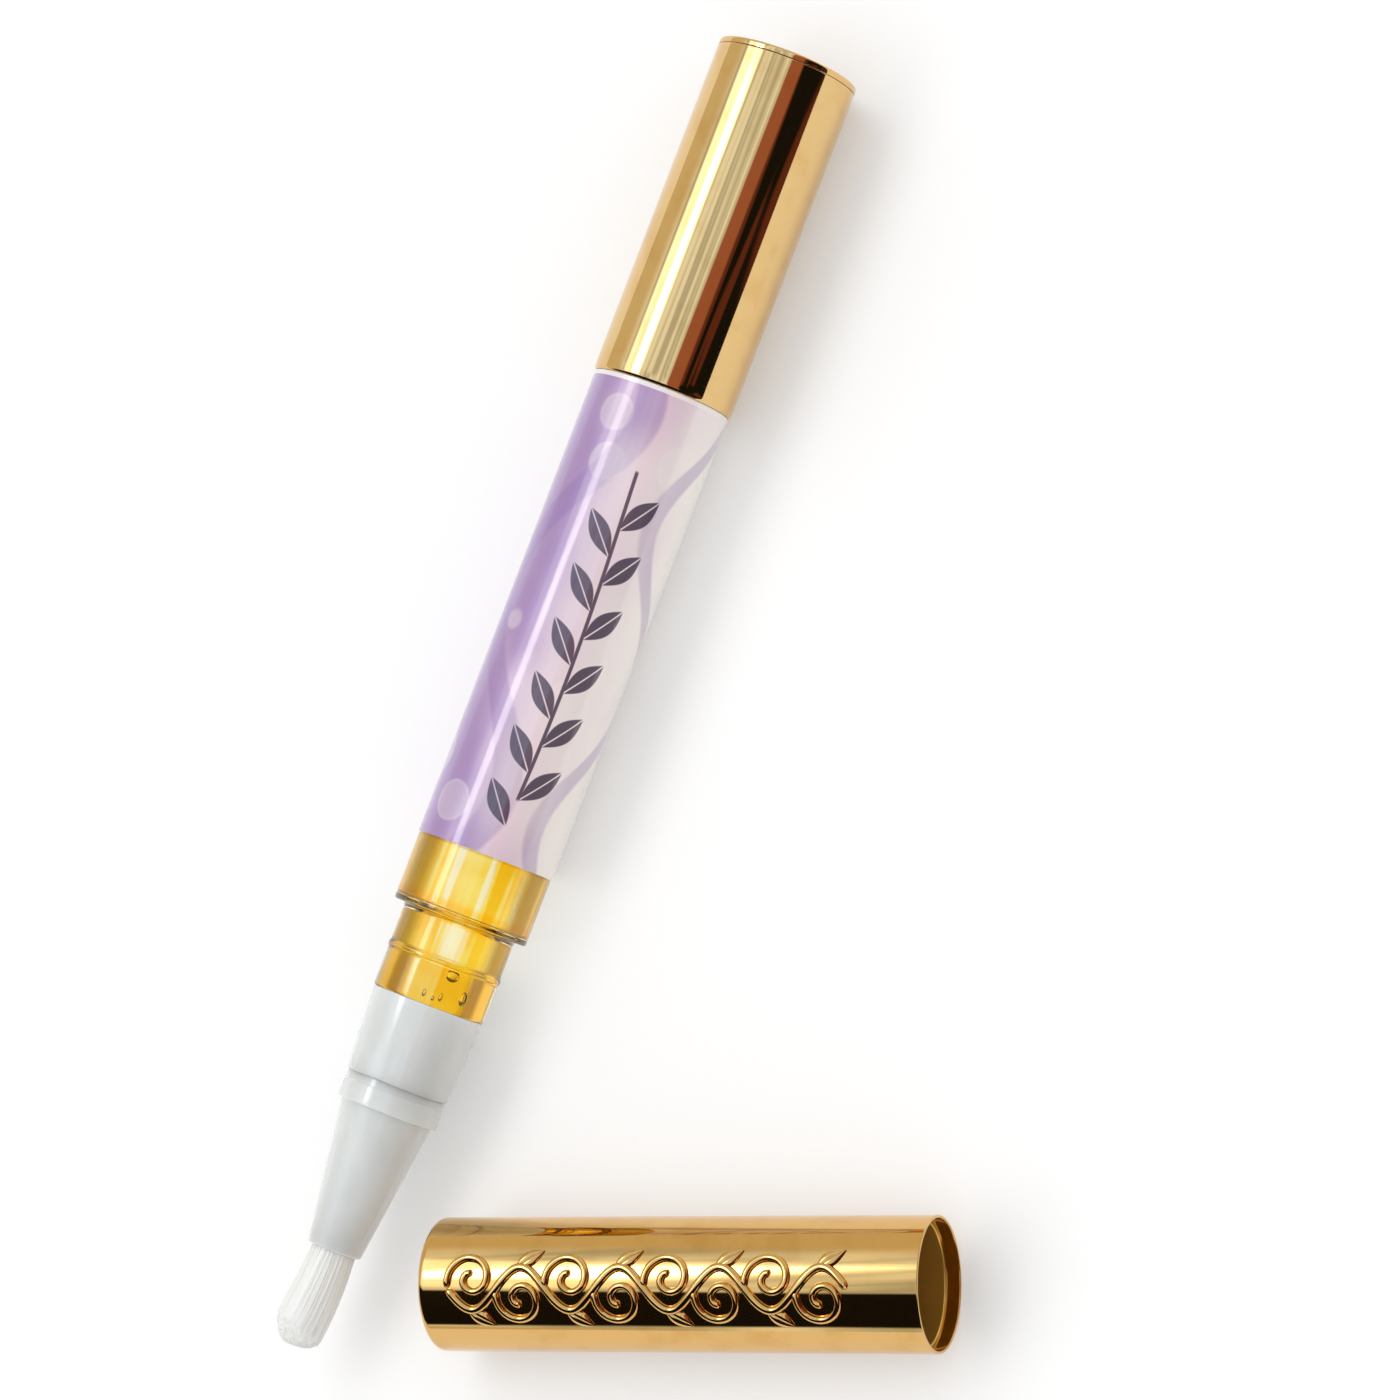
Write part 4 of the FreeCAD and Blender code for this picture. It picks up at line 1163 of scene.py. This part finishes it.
def raised_form(vertices, faces, rows, columns, point):
    """Adds a closed raised form to a mesh.

    point takes a row's share, 0 to 1, and a column's place, -1 to 1, and gives arc, along and height.
    """
    top = len(vertices)
    for row in range(rows + 1):
        for column in range(columns + 1):
            arc, along, height = point(row / rows, 2 * column / columns - 1)
            vertices.append(on_cap(arc, along, height))
    base = len(vertices)
    for row in range(rows + 1):
        for column in range(columns + 1):
            arc, along, height = point(row / rows, 2 * column / columns - 1)
            vertices.append(on_cap(arc, along, -SCROLL_SINK))
    width = columns + 1
    for row in range(rows):
        for column in range(columns):
            near = row * width + column
            quad = [near, near + 1, near + width + 1, near + width]
            faces.append([top + corner for corner in quad])
            faces.append([base + corner for corner in reversed(quad)])
    rim = list(range(width))
    rim += [row * width + columns for row in range(1, rows + 1)]
    rim += [rows * width + column for column in reversed(range(columns))]
    rim += [row * width for row in reversed(range(1, rows))]
    for index, corner in enumerate(rim):
        turned = rim[(index + 1) % len(rim)]
        faces.append([top + corner, base + corner, base + turned, top + turned])


scroll_vertices = []
scroll_faces = []


def heading(path, share):
    """The way that a path runs at a share of its length."""
    before = Vector(path(max(0.0, share - HEADING_SHARE)))
    return (Vector(path(min(1.0, share + HEADING_SHARE))) - before).normalized()


def stroke(path, length, half_width, rows):
    """Adds a raised round stroke with round ends along path(share), which gives (arc, along)."""

    def point(share, offset):
        arc, along = path(share)
        way = heading(path, share)
        inset = 1 - min(1.0, min(share, 1 - share) * length / half_width)
        swell = max(STROKE_TIP_SHARE, math.sqrt(1 - inset * inset))
        side = offset * half_width * swell
        height = SCROLL_HEIGHT * swell * math.sqrt(1 - offset * offset)
        return arc + way.y * side, along - way.x * side, height

    raised_form(scroll_vertices, scroll_faces, rows, STROKE_COLUMNS, point)


def stem_path(share):
    arc = WAVE_HEIGHT * math.sin(math.pi * HALF_WAVES * share)
    return arc, SCROLL_START + HALF_WAVES * HALF_WAVE * share


def curl_path(middle, side):
    start_along = -HALF_WAVE / 2
    first_reach = math.hypot(start_along, CURL_DROP)
    first_turn = math.atan2(CURL_DROP, start_along)

    def path(share):
        reach_now = first_reach + (CURL_END - first_reach) * share ** CURL_POWER
        turn = first_turn + math.tau * CURL_TURNS * share
        arc = side * (reach_now * math.sin(turn) - CURL_DROP)
        return arc, middle + reach_now * math.cos(turn)

    return path


def leaf_path(middle, side):
    def path(share):
        arc = side * (WAVE_HEIGHT + LEAF_REACH * LEAF_OUT_SHARE * share)
        along = middle - LEAF_SETBACK + LEAF_REACH * LEAF_ALONG_SHARE * share
        return arc, along + LEAF_BEND * share * share

    return path


def leaf(path):
    """Adds a raised pointed leaf with a vein along path(share)."""

    def point(share, offset):
        arc, along = path(share)
        way = heading(path, share)
        run = LEAF_TIP_SHARE + (1 - LEAF_TIP_SHARE) * share
        swell = max(LEAF_TIP_SHARE, math.sin(math.pi * run) ** LEAF_SWELL_POWER)
        side = offset * LEAF_HALF * swell
        vein = VEIN_DEPTH_SHARE * math.exp(-((offset / VEIN_HALF_SHARE) ** 2))
        crown = (1 - offset * offset) ** LEAF_CROWN_POWER
        height = SCROLL_HEIGHT * LEAF_HEIGHT_SHARE * crown * swell ** LEAF_FALL_POWER * (1 - vein)
        return arc + way.y * side, along - way.x * side, height

    raised_form(scroll_vertices, scroll_faces, LEAF_ROWS, LEAF_COLUMNS, point)


stroke(stem_path, STEM_LENGTH, STEM_HALF, STEM_ROWS)
for number in range(HALF_WAVES):
    middle = SCROLL_START + (number + 0.5) * HALF_WAVE
    side = 1 if number % 2 == 0 else -1
    stroke(curl_path(middle, side), CURL_LENGTH, CURL_HALF, CURL_ROWS)
    leaf(leaf_path(middle, side))
scroll = new_piece("cap_scroll", scroll_vertices, scroll_faces, [CAP_GOLD])
settle(scroll, "cap", place=CAP_PLACE)

# The works inside keep their CAD shapes.
for node, material in (
    ("screw_nut", WHITE_WORKS),
    ("ratchet_ring", WHITE_WORKS),
    ("drive_sleeve", WHITE_WORKS),
    ("lead_screw", WHITE_WORKS),
    ("piston", PISTON_PLASTIC),
    ("piston_ring", SEAL),
    ("thrust_washer", TUBE_PLASTIC),
    ("feed_tube", TUBE_PLASTIC),
    ("brush_root", BRISTLE),
    ("click_spring", STEEL),
):
    slots = frame["nodes"][node].data.materials
    slots.clear()
    slots.append(material)

# The floor: pale, white to the eye and in reflections, and it keeps the shadow.
FLOOR_HALF = 4.0
FLOOR_GLOW = 0.22
FLOOR_GLOW_THROUGH = 0.42
FLOOR_GRAIN = 18.0
FLOOR_LOW = (0.80, 0.80, 0.80, 1.0)
FLOOR_HIGH = (0.82, 0.82, 0.82, 1.0)
floor_mesh = bpy.data.meshes.new("floor")
floor_corners = [(-1, -1), (1, -1), (1, 1), (-1, 1)]
floor_vertices = [(x * FLOOR_HALF, y * FLOOR_HALF, FLOOR) for x, y in floor_corners]
floor_mesh.from_pydata(floor_vertices, [], [(0, 1, 2, 3)])
floor = bpy.data.objects.new("floor", floor_mesh)
scene.collection.objects.link(floor)
net = new_material("pale_floor")
floor_noise = net.noise(net.node("TexCoord").outputs["Object"], FLOOR_GRAIN)
diffuse = net.join("BsdfDiffuse", net.blend(floor_noise, FLOOR_LOW, FLOOR_HIGH))
seen = net.ray("Camera").math("MAXIMUM", net.ray("Glossy")) * FLOOR_GLOW
seen_through = net.ray("Transmission") * FLOOR_GLOW_THROUGH
glow = net.fill(net.node("Emission"), Strength=seen.math("MAXIMUM", seen_through)).outputs[0]
floor_mesh.materials.append(net.output(net.join("AddShader", diffuse, glow)))

# The studio. Its light is an even pale dome with one long soft light overhead to the left. What polished
# surfaces mirror has more in it: the long light's bright strip, a faintly streaked ceiling, a warm board
# and a black card to the right, and a black card towards the front. Pairs are the ends of soft edges.
WHITE = (1.0, 1.0, 1.0, 1.0)
DOME_LEVEL = 0.78
SOFT_LEVEL = 1.6
LIGHT_TURN = math.radians(-27)
LIGHT_EDGE = math.radians(16)
LIGHT_INSIDE = math.radians(8)
LIGHT_ENDS = (0.8, 0.5)
PANEL_TURN = math.radians(-34)
PANEL_EDGE = math.radians(16)
PANEL_INSIDE = math.radians(12)
PANEL_LEVEL = 1.0
PANEL_ENDS = (0.38, 0.26)
STRIP_TURN = math.radians(-28)
STRIP_EDGE = math.radians(8)
STRIP_INSIDE = math.radians(3)
STRIP_LOW = 3.5
STRIP_HIGH = 7.5
STRIP_FRONT_END = (-0.14, -0.03)
STRIP_REAR_END = (0.28, 0.2)
STRIP_DRIFT = (0.35, 0.65)
CEILING_LOW = (0.56, 0.64, 0.73, 1.0)
CEILING_HIGH = (1.05, 1.2, 1.42, 1.0)
CEILING_STREAKS = (0.36, 0.64)
SIDE_WALL = (0.74, 0.68, 0.52, 1.0)
SIDE_WALL_EDGE = (math.radians(-46), math.radians(-66))
REAR_WALL_EDGE = (0.5, 0.7)
WARM_BOARD = (0.40, 0.15, 0.10, 1.0)
DARK_BOARD = (0.13, 0.035, 0.022, 1.0)
BLACK_CARD = (0.010, 0.009, 0.008, 1.0)
WARM_BOARD_EDGE = (0.44, 0.48)
DARK_BOARD_EDGE = (0.54, 0.6)
BLACK_CARD_EDGE = (0.70, 0.75)
FRONT_CARD_EDGE = (-0.36, -0.42)
FRONT_CARD_FOOT = (0.1, 0.18)
world = bpy.data.worlds.new("studio")
scene.world = world
net = Network(world)
way_x, way_y, way_z = net.split(net.node("TexCoord").outputs["Generated"])
light_turn = way_x.math("ARCTAN2", way_z)


def backdrop(colour, strength):
    return net.fill(net.node("Background"), Color=colour, Strength=strength).outputs[0]


def room_streaks(across, along, layer, detail):
    """Noise over the directions of the room."""
    return net.noise(net.join("CombineXYZ", way_x * across, way_y * along, layer), 1.0, detail)


soft_light = (light_turn - LIGHT_TURN).size().rise(LIGHT_EDGE, LIGHT_INSIDE)
soft_light = soft_light * way_y.size().rise(*LIGHT_ENDS)
soft_room = backdrop(WHITE, soft_light * SOFT_LEVEL + DOME_LEVEL)

streaks = room_streaks(across=9.0, along=2.0, layer=0.0, detail=2.0)
mirrored = net.blend(streaks.rise(*CEILING_STREAKS), CEILING_LOW, CEILING_HIGH)
mirrored = net.blend(light_turn.rise(*SIDE_WALL_EDGE), mirrored, SIDE_WALL)
mirrored = net.blend(way_y.rise(*REAR_WALL_EDGE), mirrored, SIDE_WALL)
mirrored = net.blend(way_x.rise(*WARM_BOARD_EDGE), mirrored, WARM_BOARD)
boards = room_streaks(across=9.0, along=4.0, layer=3.0, detail=1.0)
card = net.blend(boards.rise(*DARK_BOARD_EDGE), BLACK_CARD, DARK_BOARD)
mirrored = net.blend(way_x.rise(*BLACK_CARD_EDGE), mirrored, card)
front_card = way_y.rise(*FRONT_CARD_EDGE) * way_z.rise(*FRONT_CARD_FOOT)
mirrored = net.blend(front_card, mirrored, BLACK_CARD)
panel = (light_turn - PANEL_TURN).size().rise(PANEL_EDGE, PANEL_INSIDE)
panel = panel * way_y.size().rise(*PANEL_ENDS)
strip = (light_turn - STRIP_TURN).size().rise(STRIP_EDGE, STRIP_INSIDE)
strip = strip * way_y.rise(*STRIP_FRONT_END) * way_y.rise(*STRIP_REAR_END)
strip_drift = room_streaks(across=4.0, along=9.0, layer=7.0, detail=2.0)
strip = strip * strip_drift.rise(*STRIP_DRIFT).between(STRIP_LOW, STRIP_HIGH)
long_light = backdrop(WHITE, panel * PANEL_LEVEL + strip)
mirror_room = net.join("AddShader", backdrop(mirrored, 1.0), long_light)
seen_room = net.join("MixShader", net.ray("Glossy"), soft_room, mirror_room)
seen_room = net.join("MixShader", net.ray("Camera"), seen_room, backdrop(WHITE, 1.0))
net.fill(net.node("OutputWorld"), Surface=seen_room)

# The camera, at the photograph's angle.
CAMERA_DISTANCE = 0.42
CAMERA_LEAN = math.radians(26)
CAMERA_ROLL = math.radians(20.867)
CAMERA_AIM = Vector((13.434, 24.408, 0)) * MM
CAMERA_LENS = 127.96
CAMERA_NEAR = 0.01
CAMERA_FAR = 20.0
camera_place = Vector((math.sin(CAMERA_LEAN), 0, math.cos(CAMERA_LEAN))) * CAMERA_DISTANCE
forward = (CAMERA_AIM - camera_place).normalized()
level_right = forward.cross(Vector((0, 1, 0))).normalized()
level_up = level_right.cross(forward)
right = level_right * math.cos(CAMERA_ROLL) + level_up * math.sin(CAMERA_ROLL)
up = level_up * math.cos(CAMERA_ROLL) - level_right * math.sin(CAMERA_ROLL)
camera_data = bpy.data.cameras.new("camera")
camera_data.lens = CAMERA_LENS
camera_data.clip_start = CAMERA_NEAR
camera_data.clip_end = CAMERA_FAR
camera = bpy.data.objects.new("camera", camera_data)
camera.matrix_world = (
    Matrix.Translation(camera_place) @ Matrix((right, up, -forward)).transposed().to_4x4()
)
scene.collection.objects.link(camera)
scene.camera = camera
